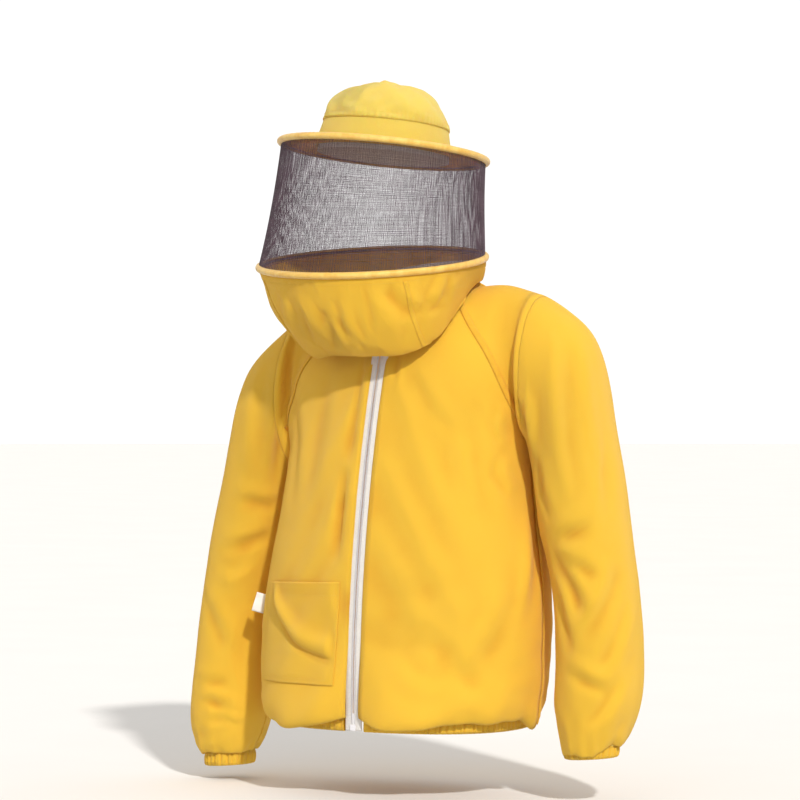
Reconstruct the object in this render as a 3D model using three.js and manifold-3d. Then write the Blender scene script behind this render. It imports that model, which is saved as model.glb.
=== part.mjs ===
// Beekeeping suit: a zip-front cotton jacket with raglan sleeves, an elastic hem and cuffs, and a
// zip-on hood made of a neck skirt, a hooped net veil and a brimmed hat. Millimetres, +Z up,
// front towards -Y, wearer's left towards +X, origin at the base of the wearer's neck.
import * as THREE from 'three';
import { mergeVertices } from 'three/addons/utils/BufferGeometryUtils.js';
import Module from 'manifold-3d';

const wasm = await Module();
wasm.setup();

// ---- driving sizes --------------------------------------------------------------------------
const cloth = 2.4; // two layers of cotton drill with their seam allowance
const seamGap = 0.4; // between neighbouring panels
const turnGap = 0.6; // between a sleeve and the shoulder that it turns on
const fitGap = 0.6; // between a trim and what it lies on

const collarRadius = 92;
const collarTilt = 12; // degrees, front of the neckline lower than the back
const collarHeight = 5; // middle of the neckline above the origin
const standHeight = 14; // collar stand, from the neckline to its zip

const armpitZ = -237;
const armpitX = 205;
const shoulderPlaneX = 216; // where the sleeve can turn against the shoulder
const shoulderTopZ = -14;
const shoulderTopZDrop = 4; // from the armpit's ring out to the shoulder plane
const sideSeamY = 4;
const roundness = 2.35; // of the body's rings; 2 is an ellipse
const raglanAngles = [65, 115]; // degrees from the front, where the raglan seams meet the neckline
const hemZ = -642;
const hemHalfWidth = 206;
const blouseHalfWidth = 238; // the fullest part of the body, above the hem
const hemHalfDepth = 134;
const zipTop = { y: -96, z: -22 };
const zipBottom = { y: -152, z: -640 };
const zipBulge = 26; // how far the front curves out between the ends of the zip
const zipHalf = 10.5; // half the width of the open tape

const sleeveHalfWidth = 64;
const sleeveHalfDepth = 74;
const cuffZ = -702;
const cuffInnerX = 284;
const cuffY = 12;
const sleeveInnerX = 265; // the inner side of the lower sleeve
const cuffHalfWidth = 41;
const bandHeight = 24; // hem and cuff casings
const elasticWidth = 17;
const elasticThick = 1.6;

const hoodTurn = 37; // degrees, the hood faces the wearer's right of the jacket's front
const hoopRadius = 175;
const hoopForward = 79; // the hoop's middle ahead of the neck
const hoopHeight = 50;
const hoopFrontDrop = 6; // degrees
const hoopSideDrop = 7; // degrees, towards the hood's left
const brimRadius = 160;
const brimForward = 60;
const brimHeight = 220;
const brimFrontLift = 6.3; // degrees
const pipingRadius = 4.6;
const wireRadius = 1.5;
const crownRadius = 106;
const crownTopRadius = 96;
const bandRise = 46; // side band of the crown
const crownRise = 104; // top of the crown above the brim
const bagDrop = 96; // how far below the origin the neck skirt sags in front

const lean = 0.045; // the hips stand towards the wearer's right
const shoulderTilt = 0.07; // the left shoulder is carried higher

// ---- looks ----------------------------------------------------------------------------------
const look = (color, roughness = 0.9, metalness = 0) =>
  new THREE.MeshStandardMaterial({ color, roughness, metalness });
const yellowDrill = look(0xf2b93b);
const yellowHat = look(0xf6c455);
const whiteTape = look(0xf3ece2, 0.8);
const whiteNylon = look(0xe9e4ea, 0.45);
const blackNet = look(0x2b2630, 0.7);
const elasticWeb = look(0xe8e2d6, 0.85);
const springWire = look(0xb9bcc0, 0.35, 1);
const silverMetal = look(0xc9cbd0, 0.3, 1);
const whiteSatin = look(0xf2efe9, 0.5);

// ---- shared shapes --------------------------------------------------------------------------
const point = (x, y, z) => new THREE.Vector3(x, y, z);
const radians = THREE.MathUtils.degToRad;
const { lerp, clamp, smoothstep } = THREE.MathUtils;
const between = (a, b, share) => a.clone().lerp(b, share);
const steps = (count) => Array.from({ length: count + 1 }, (_, i) => i / count);

/** A smooth function through [at, value] stations, level beyond its ends. */
function through(...stations) {
  const slope = (i) => {
    const before = stations[Math.max(i - 1, 0)];
    const after = stations[Math.min(i + 1, stations.length - 1)];
    return (after[1] - before[1]) / (after[0] - before[0]);
  };
  return (at) => {
    const last = stations.length - 1;
    if (at <= stations[0][0]) return stations[0][1];
    if (at >= stations[last][0]) return stations[last][1];
    const i = stations.findIndex(([place]) => place > at) - 1;
    const [[from, a], [to, b]] = [stations[i], stations[i + 1]];
    const span = to - from;
    const t = (at - from) / span;
    const [s, u] = [t * t, t * t * t];
    return a * (2 * u - 3 * s + 1) + b * (3 * s - 2 * u)
      + slope(i) * span * (u - 2 * s + t) + slope(i + 1) * span * (u - s);
  };
}

/** A closed solid as a mesh, turned so that its faces point out. */
function solid(name, points, faces, material) {
  const volume = faces.reduce((sum, _, i) => (i % 3 ? sum : sum
    + points[faces[i]].dot(points[faces[i + 1]].clone().cross(points[faces[i + 2]]))), 0);
  const turned = volume > 0 ? faces : faces.slice().reverse();
  const geometry = new THREE.BufferGeometry().setFromPoints(points).setIndex(turned);
  geometry.computeVertexNormals();
  const mesh = new THREE.Mesh(geometry, material);
  mesh.name = name;
  return mesh;
}

/** The solid between two matching grids of points; a ring's last column meets its first. */
function slab(name, outer, inner, material, ring = false) {
  const [rows, columns] = [outer.length, outer[0].length];
  const at = (side, i, j) => (side * rows + i) * columns + (j % columns);
  const faces = [];
  const quad = (a, b, c, d) => faces.push(a, b, c, a, c, d);
  const [top, end] = [rows - 1, ring ? columns : columns - 1];
  for (let j = 0; j < end; j += 1) {
    for (let i = 0; i < top; i += 1) {
      quad(at(0, i, j), at(0, i, j + 1), at(0, i + 1, j + 1), at(0, i + 1, j));
      quad(at(1, i, j), at(1, i + 1, j), at(1, i + 1, j + 1), at(1, i, j + 1));
    }
    quad(at(0, 0, j), at(1, 0, j), at(1, 0, j + 1), at(0, 0, j + 1));
    quad(at(0, top, j), at(0, top, j + 1), at(1, top, j + 1), at(1, top, j));
  }
  for (let i = 0; i < top && !ring; i += 1) {
    quad(at(0, i, 0), at(0, i + 1, 0), at(1, i + 1, 0), at(1, i, 0));
    quad(at(0, i, end), at(1, i, end), at(1, i + 1, end), at(0, i + 1, end));
  }
  return solid(name, [...outer.flat(), ...inner.flat()], faces, material);
}

/** An outline of [out, up] points carried along a path from one angle to another, or right round. */
function sweep(name, outline, place, material, { from = 0, to = 2 * Math.PI, count = 36 } = {}) {
  const ring = to - from > 6.28;
  const stations = steps(count).slice(0, ring ? -1 : undefined).map((share) => lerp(from, to, share));
  const points = stations.flatMap((angle) => outline.map(([out, up]) => place(angle, out, up)));
  const size = outline.length;
  const at = (i, j) => (i % stations.length) * size + (j % size);
  const faces = [];
  for (let i = 0; i < count; i += 1) {
    for (let j = 0; j < size; j += 1) {
      faces.push(at(i, j), at(i + 1, j), at(i + 1, j + 1), at(i, j), at(i + 1, j + 1), at(i, j + 1));
    }
  }
  if (!ring) {
    const flat = outline.map(([out, up]) => new THREE.Vector2(out, up));
    const caps = THREE.ShapeUtils.triangulateShape(flat, []);
    const wound = THREE.ShapeUtils.area(flat) > 0;
    for (const [a, b, c] of caps) {
      const [first, last] = wound ? [[a, b, c], [a, c, b]] : [[a, c, b], [a, b, c]];
      faces.push(...first.map((j) => at(0, j)), ...last.map((j) => at(count, j)));
    }
  }
  return solid(name, points, faces, material);
}

/** A circle in space: place(angle, outwards, upwards) counts its angle from the front to the left. */
function circleFrame(centre, ahead, side) {
  const up = ahead.clone().cross(side).normalize();
  const place = (angle, outwards, upwards = 0) => centre.clone()
    .addScaledVector(ahead, Math.cos(angle) * outwards)
    .addScaledVector(side, Math.sin(angle) * outwards)
    .addScaledVector(up, upwards);
  return { centre, ahead, side, up, place };
}

/** A circle's frame from its plane's drop, in degrees, towards the hood's front and its left. */
function hoodCircle(forward, height, frontDrop, sideDrop) {
  const turn = radians(hoodTurn);
  const front = point(-Math.sin(turn), -Math.cos(turn), 0);
  const left = point(Math.cos(turn), -Math.sin(turn), 0);
  const up = point(0, 0, 1).addScaledVector(front, Math.tan(radians(frontDrop)))
    .addScaledVector(left, Math.tan(radians(sideDrop))).normalize();
  const ahead = point(0, -1, 0).addScaledVector(up, up.y).normalize();
  const centre = front.multiplyScalar(forward).setZ(height);
  return circleFrame(centre, ahead, up.clone().cross(ahead));
}

/** Bias binding folded round a hoop wire, open on its inner side, and the wire in it. */
function boundHoop(prefix, frame, radius, clothLook) {
  const opening = radians(34);
  const turns = steps(6).map((share) => lerp(opening - Math.PI, Math.PI - opening, share));
  const ringOf = (size) => turns.map((a) => [size * Math.cos(a), size * Math.sin(a)]);
  const outline = [...ringOf(pipingRadius), ...ringOf(pipingRadius - 1.2).reverse()];
  const wire = steps(6).slice(1).map((share) => [
    wireRadius * Math.cos(share * 2 * Math.PI), wireRadius * Math.sin(share * 2 * Math.PI)]);
  const place = (angle, out, up) => frame.place(angle, radius + out, up);
  return [
    sweep(`${prefix}_binding`, outline, place, clothLook, { count: 32 }),
    sweep(`${prefix}_wire`, wire, place, springWire, { count: 32 }),
  ];
}

/** A solid of revolution about a circle frame's axis, from a closed profile of [radius, up] points. */
function turned(name, profile, frame, material) {
  const geometry = new THREE.LatheGeometry(profile.map(([r, up]) => new THREE.Vector2(r, up)), 32);
  const mesh = new THREE.Mesh(geometry, material);
  mesh.name = name;
  mesh.applyMatrix4(new THREE.Matrix4()
    .makeBasis(frame.side, frame.up, frame.side.clone().cross(frame.up)).setPosition(frame.centre));
  return mesh;
}

/** Two closed geometries joined ('add') or the second cut from the first ('subtract'). */
function combined(first, operation, second) {
  const [whole, other] = [first, second].map((geometry) => {
    const bare = geometry.clone();
    bare.deleteAttribute('normal');
    bare.deleteAttribute('uv');
    const { index, attributes } = mergeVertices(bare);
    return new wasm.Manifold(new wasm.Mesh({
      numProp: 3, vertProperties: attributes.position.array, triVerts: new Uint32Array(index.array),
    }));
  });
  const { vertProperties, triVerts } = whole[operation](other).getMesh();
  return new THREE.BufferGeometry()
    .setAttribute('position', new THREE.BufferAttribute(vertProperties, 3))
    .setIndex(new THREE.BufferAttribute(triVerts, 1));
}

// ---- the garment's surface ------------------------------------------------------------------
/** Moves a point of the straight garment into the stance that it is worn in. */
const stance = (p, tiltShare = 1) => point(
  p.x + lean * Math.min(p.z, 0), p.y, p.z + shoulderTilt * tiltShare * p.x);

const neckline = (() => {
  const tilt = radians(collarTilt);
  const ahead = point(0, -Math.cos(tilt), -Math.sin(tilt));
  const level = point(1, 0, shoulderTilt);
  const side = level.addScaledVector(ahead, -level.dot(ahead)).normalize();
  return circleFrame(point(0, 0, collarHeight), ahead, side);
})();

/** The zip's arc in the plane of the front: its middle, its radius and its depth at a height. */
const zipArc = (() => {
  const chord = new THREE.Vector2(zipTop.y - zipBottom.y, zipTop.z - zipBottom.z);
  const radius = chord.lengthSq() / (8 * zipBulge) + zipBulge / 2;
  const middle = new THREE.Vector2((zipTop.y + zipBottom.y) / 2, (zipTop.z + zipBottom.z) / 2);
  const inwards = new THREE.Vector2(chord.y, -chord.x).normalize();
  const centre = middle.addScaledVector(inwards, radius - zipBulge);
  const depth = (z) => centre.x - Math.sqrt(radius ** 2 - (z - centre.y) ** 2);
  return { y: centre.x, z: centre.y, radius, depth };
})();

const backDepth = through([hemZ, hemHalfDepth - 4], [-540, 144], [-380, 138], [-160, 126], [30, 88]);
const halfWidth = through([hemZ, hemHalfWidth], [-600, 228], [-530, blouseHalfWidth],
  [-440, blouseHalfWidth - 6], [-320, 213], [armpitZ, armpitX]);

const armpit = point(armpitX, sideSeamY, armpitZ);
const seamTop = (angle) => neckline.place(radians(angle), collarRadius);
const unstance = (p) => point(p.x, p.y, p.z - shoulderTilt * p.x);
const raglanFront = new THREE.CatmullRomCurve3([armpit, point(198, -48, -186), point(168, -76, -108),
  point(122, -66, -50), unstance(seamTop(raglanAngles[0]))]);
const raglanBack = new THREE.CatmullRomCurve3([armpit, point(200, 58, -180), point(170, 88, -92),
  point(124, 72, -18), unstance(seamTop(raglanAngles[1]))]);

/** One point of the body, on the front or the back, from its middle line to the side or raglan seam. */
function bodyPoint(section, share, back) {
  const { end, middle, narrow, blend } = section;
  const power = lerp(roundness, 2, blend);
  const depth = Math.abs(middle.y - end.side);
  const reach = clamp(Math.abs(end.y - end.side) / depth, 0, 1);
  const last = Math.acos(reach ** (power / 2));
  const width = end.x / Math.sin(last) ** (2 / power);
  const first = back ? 0 : Math.asin((narrow / width) ** (power / 2));
  const angle = lerp(first, last, share);
  const x = width * Math.sin(angle) ** (2 / power);
  const y = end.side + Math.sign(middle.y - end.side) * depth * Math.cos(angle) ** (2 / power);
  const rise = last < 0.01 ? 0 : (1 - Math.cos(angle)) / (1 - Math.cos(last));
  return point(x, y, lerp(middle.z, end.z, rise));
}

const bodyRows = { low: 8, high: 7 };
/** The body's rows from the hem up: level ones to the armpit, then ones that end on a raglan seam. */
function bodySections(back) {
  const narrow = zipHalf + fitGap;
  const side = sideSeamY;
  const low = steps(bodyRows.low).map((share) => {
    const z = lerp(hemZ, armpitZ, share);
    const middle = point(0, back ? backDepth(z) : zipArc.depth(z), z);
    const end = { x: halfWidth(z), y: side, z, side };
    return { middle, end, narrow, blend: 0, tilt: smoothstep(z, hemZ, armpitZ) };
  });
  const top = neckline.place(back ? Math.PI : 0, collarRadius);
  const seam = back ? raglanBack : raglanFront;
  const high = steps(bodyRows.high).slice(1).map((share) => {
    const z = lerp(armpitZ, top.z, share);
    const y = back ? backDepth(z) : zipArc.depth(z);
    const middle = point(0, lerp(y, top.y, share ** 6), z);
    const { x, y: endY, z: endZ } = seam.getPoint(share);
    const end = { x, y: endY, z: endZ, side: lerp(side, 0, share) };
    return { middle, end, narrow, blend: share, tilt: 1 };
  });
  return [...low, ...high];
}

/** One half of the front or back as a grid, for the wearer's left (1) or right (-1). */
const bodyGrid = (back, hand, columns) => bodySections(back).map((section) =>
  steps(columns).map((share) => {
    const p = bodyPoint(section, share, back);
    return stance(point(hand * p.x, p.y, p.z), section.tilt);
  }));

// A sleeve's rings from the armpit to the cuff: underarm point, outer point, half depth, middle.
const underarm = new THREE.CatmullRomCurve3([armpit, point(shoulderPlaneX, sideSeamY, armpitZ - 13),
  point(shoulderPlaneX + 5, 6, armpitZ - 49), point(232, 12, -366), point(sleeveInnerX - 8, 20, -470),
  point(sleeveInnerX, 20, -580), point(sleeveInnerX, 16, cuffZ + 52), point(cuffInnerX, cuffY, cuffZ)]);
const outerArm = new THREE.CatmullRomCurve3([point(armpitX, 6, shoulderTopZ),
  point(shoulderPlaneX, 6, shoulderTopZ - shoulderTopZDrop), point(300, 6, -86), point(345, 12, -262),
  point(sleeveInnerX + 2 * sleeveHalfWidth - 16, 20, -430),
  point(sleeveInnerX + 2 * sleeveHalfWidth, 20, -565),
  point(sleeveInnerX + 2 * sleeveHalfWidth, 16, cuffZ + 47),
  point(cuffInnerX + 2 * cuffHalfWidth, cuffY, cuffZ)]);
const sleeveDepth = through([0, sleeveHalfDepth + 4], [4 / 7, sleeveHalfDepth],
  [6 / 7, sleeveHalfDepth - 8], [1, cuffHalfWidth - 2]);
const sleeveColumns = 22;

/** A point of a sleeve's ring: its angle runs from the underarm over the front and outside to the back. */
function sleevePoint(share, angle) {
  const [inner, outer] = [underarm.getPoint(share), outerArm.getPoint(share)];
  const p = between(inner, outer, (1 - Math.cos(angle)) / 2);
  return point(p.x, p.y - sleeveDepth(share) * Math.sin(angle), p.z);
}
const sleeveRing = (share) => steps(sleeveColumns).map((turn) => sleevePoint(share, turn * 2 * Math.PI));

/** The part of a raglan sleeve between its two raglan seams, from the armpit ring to the neckline. */
function raglanGrid(rowCount) {
  const middle = sleeveColumns / 2;
  const [low, high] = [armpitZ, shoulderTopZ];
  const angleAt = (z) => Math.acos(clamp(1 - (2 * (z - low)) / (high - low), -1, 1));
  const neck = steps(sleeveColumns).map((u) => unstance(seamTop(lerp(...raglanAngles, u))));
  const ridge = new THREE.CatmullRomCurve3([sleevePoint(0, Math.PI), point(150, 4, 4), neck[middle]]);
  return steps(rowCount).map((share) => {
    const [front, back] = [raglanFront.getPoint(share), raglanBack.getPoint(share)];
    const [from, to] = [angleAt(front.z), 2 * Math.PI - angleAt(back.z)];
    const row = steps(sleeveColumns).map((u, j) =>
      between(sleevePoint(0, lerp(from, to, u)), neck[j], share));
    const [atFront, atBack] = [front.clone().sub(row[0]), back.clone().sub(row[sleeveColumns])];
    row.forEach((p, j) => p.add(between(atFront, atBack, j / sleeveColumns)));
    const lift = ridge.getPoint(share).sub(row[middle]);
    return row.map((p, j) => p.addScaledVector(lift, Math.sin((Math.PI * j) / sleeveColumns)));
  });
}

const sleeveRows = 11;
const jointShare = 1 / 7; // the ring that lies in the shoulder plane
const shoulderAxis = point(1, 0, -lean).normalize(); // square to that plane
const mirrored = (grid, hand) => grid.map((row) => row.map((p) => stance(point(hand * p.x, p.y, p.z))));
const raglanHalf = (hand) => mirrored([sleeveRing(jointShare), ...raglanGrid(bodyRows.high)], hand);
const sleeveHalf = (hand) => mirrored(steps(sleeveRows).map((share) =>
  sleeveRing(lerp(jointShare, 1, share))), hand);

/** Every panel's outer grid, and the inner grid along the normals that its neighbours share. */
const panels = (() => {
  const grids = {};
  for (const [word, hand] of [['left', 1], ['right', -1]]) {
    grids[`front_${word}`] = { hand, rows: bodyGrid(false, hand, 7) };
    grids[`shoulder_${word}`] = { hand, rows: raglanHalf(hand) };
    grids[`sleeve_${word}`] = { hand: -hand, rows: sleeveHalf(hand) };
  }
  const [left, right] = [bodyGrid(true, 1, 7), bodyGrid(true, -1, 7)];
  grids.back = { hand: 1, rows: left.map((row, i) => [...row.slice().reverse(), ...right[i].slice(1)]) };

  const key = (p) => p.toArray().map((v) => Math.round(v * 20)).join();
  const normals = new Map();
  for (const { hand, rows } of Object.values(grids)) {
    for (let i = 0; i + 1 < rows.length; i += 1) {
      for (let j = 0; j + 1 < rows[0].length; j += 1) {
        const corners = [rows[i][j], rows[i][j + 1], rows[i + 1][j + 1], rows[i + 1][j]];
        const facing = corners[2].clone().sub(corners[0])
          .cross(corners[3].clone().sub(corners[1])).multiplyScalar(hand);
        corners.forEach((p) => normals.set(key(p), (normals.get(key(p)) ?? point(0, 0, 0)).add(facing)));
      }
    }
  }
  for (const [name, { rows }] of Object.entries(grids)) {
    for (const p of name.startsWith('s') ? rows[0] : []) {
      const normal = normals.get(key(p));
      normal.addScaledVector(shoulderAxis, -normal.dot(shoulderAxis));
    }
  }
  for (const grid of Object.values(grids)) {
    grid.inner = grid.rows.map((row) => row.map((p) =>
      p.clone().addScaledVector(normals.get(key(p)).clone().normalize(), -cloth)));
  }
  return grids;
})();

/** Pulls a grid's edges in by half the gap that two neighbouring panels keep. */
function trimmed(grid, keepSides = false) {
  const move = (p, towards) => p.add(towards.clone().sub(p).setLength(seamGap / 2));
  const rows = grid.map((row) => row.map((p) => p.clone()));
  const [top, end] = [rows.length - 1, rows[0].length - 1];
  for (let j = 0; j <= end; j += 1) {
    move(rows[0][j], grid[1][j]);
    move(rows[top][j], grid[top - 1][j]);
  }
  for (let i = 0; i <= top && !keepSides; i += 1) {
    move(rows[i][0], grid[i][1]);
    move(rows[i][end], grid[i][end - 1]);
  }
  return rows;
}

const panel = (name, source) => slab(name, trimmed(source.rows), trimmed(source.inner), yellowDrill);
function sleeveTube(name, source) {
  const open = (grid) => {
    const rows = trimmed(grid, true).map((row) => row.slice(0, -1));
    rows[0].forEach((p) => p.addScaledVector(shoulderAxis, -source.hand * turnGap));
    return rows;
  };
  return slab(name, open(source.rows), open(source.inner), yellowDrill, true);
}

// ---- hem and cuffs: a folded casing, open at its top, with a band of elastic in it ------------
const casingWall = 1.8;
const casingRoom = elasticThick + 2 * fitGap;
const casingDepth = 2 * casingWall + casingRoom;
const casingOutline = [
  [0, 0], [0, -bandHeight], [-casingDepth, -bandHeight], [-casingDepth, 0],
  [-casingDepth + casingWall, 0], [-casingDepth + casingWall, -bandHeight + casingWall],
  [-casingWall, -bandHeight + casingWall], [-casingWall, 0]];
const elasticOutline = (() => {
  const [near, low] = [-casingWall - fitGap, -bandHeight + casingWall + fitGap];
  return [[near, low + elasticWidth], [near, low], [near - elasticThick, low],
    [near - elasticThick, low + elasticWidth]];
})();

const hemInset = 3; // the band inside the body's lower edge
/** A point of the hem band: its angle runs from the front to the left and round. */
function hemPlace(angle, out, up) {
  const [c, s] = [Math.cos(angle), Math.sin(angle)];
  const bend = (value) => Math.sign(value) * Math.abs(value) ** (2 / roundness);
  const depth = c > 0 ? -zipArc.depth(hemZ) : backDepth(hemZ);
  const half = depth + Math.sign(c) * sideSeamY - hemInset + out;
  return stance(point((hemHalfWidth - hemInset + out) * bend(s), sideSeamY - half * bend(c),
    hemZ - fitGap + up), 0);
}

/** A point of a cuff: its angle runs from the front towards the wearer's left and round. */
const cuffPlace = (hand) => (angle, out, up) => stance(point(
  hand * (cuffInnerX + cuffHalfWidth) + (cuffHalfWidth - 1 + out) * Math.sin(angle),
  cuffY - (cuffHalfWidth - 3 + out) * Math.cos(angle), cuffZ - fitGap + up));

const hemOpening = Math.asin((zipHalf + fitGap) / hemHalfWidth) * 1.6;
const hemSpan = { from: hemOpening, to: 2 * Math.PI - hemOpening, count: 44 };
const bands = [
  sweep('hem_casing', casingOutline, hemPlace, yellowDrill, hemSpan),
  sweep('hem_elastic', elasticOutline, hemPlace, elasticWeb, hemSpan),
  ...[['left', 1], ['right', -1]].flatMap(([word, hand]) => [
    sweep(`${word}_cuff_casing`, casingOutline, cuffPlace(hand), yellowDrill, { count: 22 }),
    sweep(`${word}_cuff_elastic`, elasticOutline, cuffPlace(hand), elasticWeb, { count: 22 }),
  ]),
];

// ---- front zip ------------------------------------------------------------------------------
const coilHalf = 2.8;
const coilFront = 1.4;
const zipLow = hemZ - bandHeight;
const zipHigh = neckline.place(0, collarRadius).z;

/** A long strip on the zip's arc, between two widths and two depths in front of the arc. */
function zipStrip(name, [from, to], [front, back], [low, high], material) {
  const grid = (proud) => steps(14).map((share) => {
    const z = lerp(low, high, share);
    return [from, to].map((x) => stance(point(x, zipArc.depth(z) - proud, z), smoothstep(z, hemZ, armpitZ)));
  });
  return slab(name, grid(front), grid(back), material);
}

const zipParts = [['left', 1], ['right', -1]].flatMap(([word, hand]) => [
  zipStrip(`${word}_zip_tape`, [hand * (coilHalf + 0.3), hand * (zipHalf - 0.3)], [-0.4, -1.6],
    [zipLow + 1, zipHigh - 1], whiteTape),
  zipStrip(`${word}_zip_coil`, [hand * 0.2, hand * coilHalf], [coilFront, -1.2],
    [zipLow + 12, zipHigh - 3], whiteNylon),
]);
zipParts.push(zipStrip('zip_bottom_box', [-coilHalf - 1.6, coilHalf + 1.6], [2.2, 0.1],
  [zipLow + 2, zipLow + 11], whiteNylon));

// ---- sliders and their pulls ----------------------------------------------------------------
const slider = { length: 14, wall: 1.6, room: 0.6, barGap: 2.2, bar: 1.2, barWidth: 1.8 };
const sliderPlate = coilFront + slider.room + slider.wall; // front face of the slider's plate
const pullAxis = sliderPlate + 0.4 + slider.bar / 2; // height of the pull's pivot over the arc

const extrudeAcross = (outline, width) => {
  const shape = new THREE.Shape(outline.map(([a, b]) => new THREE.Vector2(a, b)));
  return new THREE.ExtrudeGeometry(shape, { depth: width, bevelEnabled: false }).translate(0, 0, -width / 2);
};

/** A slider in its own frame: X across the zip, Y the way that it closes, Z out of the cloth. */
function sliderGeometry() {
  const [half, inner] = [coilHalf + slider.room + 1.4, coilHalf + slider.room];
  const channel = extrudeAcross([[-half, 0.2], [-half, sliderPlate], [half, sliderPlate], [half, 0.2],
    [inner, 0.2], [inner, coilFront + slider.room], [-inner, coilFront + slider.room], [-inner, 0.2]],
  slider.length).rotateX(Math.PI / 2);
  const [reach, top] = [5.2, sliderPlate + slider.barGap + slider.bar];
  const bail = extrudeAcross([[-reach, sliderPlate - 0.3], [-reach, top], [reach, top],
    [reach, sliderPlate - 0.3], [reach - slider.bar, sliderPlate - 0.3],
    [reach - slider.bar, top - slider.bar], [-reach + slider.bar, top - slider.bar],
    [-reach + slider.bar, sliderPlate - 0.3]], slider.barWidth).rotateY(Math.PI / 2).rotateX(Math.PI / 2);
  return combined(channel, 'add', bail);
}

/** A pull in the slider's frame, lying back over the closed zip: an eye under the bail, then a tab. */
function pullGeometry(length) {
  const [eye, half] = [3.6, 4];
  const outline = new THREE.Shape([[-eye, 0.6], [eye, 0.6], [half, -7], [half, 2 - length],
    [half - 1.5, -length], [-half + 1.5, -length], [-half, 2 - length], [-half, -7]]
    .map(([x, y]) => new THREE.Vector2(x, y)));
  const tab = new THREE.ExtrudeGeometry(outline, { depth: slider.bar, bevelEnabled: false })
    .translate(0, 0, pullAxis - slider.bar / 2);
  const window = new THREE.BoxGeometry(4.6, 6.4, 4).translate(0, -3.8, pullAxis);
  return combined(tab, 'subtract', window);
}

const frontSliderZ = -40;
const frontSlide = (() => {
  const origin = stance(point(0, zipArc.depth(frontSliderZ), frontSliderZ));
  const above = stance(point(0, zipArc.depth(frontSliderZ + 1), frontSliderZ + 1));
  const across = point(1, 0, -lean).normalize();
  const along = above.sub(origin).normalize();
  return { origin, across, along, out: across.clone().cross(along) };
})();
const collarSliderAngle = 16; // degrees from the front, where the closed hood zip ends
const ringZipUp = 22.5; // middle of the hood zip above the neckline
const collarSlide = (() => {
  const angle = radians(collarSliderAngle);
  const out = neckline.place(angle, 1).sub(neckline.centre);
  const origin = neckline.place(angle, collarRadius - coilFront + 0.4, ringZipUp);
  const along = neckline.up.clone().cross(out).negate();
  return { origin, across: along.clone().cross(out), along, out };
})();

function framed(name, geometry, slide, material) {
  const mesh = new THREE.Mesh(geometry, material);
  mesh.name = name;
  mesh.applyMatrix4(new THREE.Matrix4().makeBasis(slide.across, slide.along, slide.out)
    .setPosition(slide.origin));
  return mesh;
}

function sliderWithPull(prefix, slide, pullLength) {
  return [
    framed(`${prefix}_slider`, sliderGeometry(), slide, silverMetal),
    framed(`${prefix}_pull`, pullGeometry(pullLength), slide, silverMetal),
  ];
}
const sliders = [
  ...sliderWithPull('front_zip', frontSlide, 22),
  ...sliderWithPull('hood_zip', collarSlide, 18),
];

// ---- collar stand and the zip that holds the hood on it ---------------------------------------
const collarPlace = (angle, out, up) => neckline.place(angle, collarRadius + out, up);
const rectangle = (outer, inner, low, high) => [[outer, low], [outer, high], [inner, high], [inner, low]];
const collarOpening = radians(8);
const collarSpan = { from: collarOpening, to: 2 * Math.PI - collarOpening, count: 36 };
const collarParts = [
  sweep('collar_stand', rectangle(0, -cloth, 0.8, standHeight), collarPlace, yellowDrill, collarSpan),
  sweep('collar_zip_tape', rectangle(-1.1, -2.3, standHeight + 0.5, ringZipUp - coilHalf - 0.3),
    collarPlace, whiteTape, collarSpan),
  sweep('collar_zip_coil', rectangle(0.4, -2.2, ringZipUp - coilHalf, ringZipUp - 0.2),
    collarPlace, whiteNylon, collarSpan),
  sweep('hood_zip_coil', rectangle(0.4, -2.2, ringZipUp + 0.2, ringZipUp + coilHalf),
    collarPlace, whiteNylon, collarSpan),
  sweep('hood_zip_tape', rectangle(-1.1, -2.3, ringZipUp + coilHalf + 0.3, ringZipUp + 9),
    collarPlace, whiteTape, collarSpan),
];

// ---- hood: neck skirt, hoop, net, hat ---------------------------------------------------------
const hoop = hoodCircle(hoopForward, hoopHeight, hoopFrontDrop, hoopSideDrop);
const brimCircle = hoodCircle(brimForward, brimHeight, -brimFrontLift, 0);
const hoodColumns = 32;
const hoodAngles = steps(hoodColumns).slice(0, -1).map((share) => share * 2 * Math.PI);

const headDrop = pipingRadius + fitGap + cloth / 4; // a thicker skirt meets the binding lower down
const skirtFoot = (angle, depth) => collarPlace(angle, -depth, ringZipUp + 10);
const skirtHead = (angle, depth) => hoop.place(angle, hoopRadius - depth, -headDrop);

/** The neck skirt's profile at an angle from the front: from the hood zip out, down and up to the hoop. */
function skirtProfile(angle) {
  const [low, high] = [skirtFoot(angle, 0), skirtHead(angle, 0)];
  const outwards = point(Math.sin(angle), -Math.cos(angle), 0);
  const sag = smoothstep(Math.cos(angle + radians(6)), -0.25, 0.9);
  const station = (share, bulge, frontZ, lift) => {
    const p = between(low, high, share).addScaledVector(outwards, lerp(3, bulge, sag));
    return p.setZ(lerp(p.z + lift, frontZ, sag));
  };
  return new THREE.CatmullRomCurve3([low, station(0.03, 24, low.z + 2, 3), station(0.16, 32, -34, 2),
    station(0.34, 16, -bagDrop, 0), station(0.7, 8, -52, 0), high]);
}

/** A point of the skirt at an angle and a share of its profile, a depth inside its outer face. */
function skirtPoint(angle, share, depth) {
  if (share === 0) return skirtFoot(angle, depth);
  if (share === 1) return skirtHead(angle, depth);
  const nudge = 0.01;
  const at = (turn, along) => skirtProfile(angle + turn).getPoint(share + along);
  const around = at(nudge, 0).sub(at(-nudge, 0));
  const upwards = at(0, nudge).sub(at(0, -nudge));
  return at(0, 0).addScaledVector(around.cross(upwards).normalize(), -depth);
}

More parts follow.
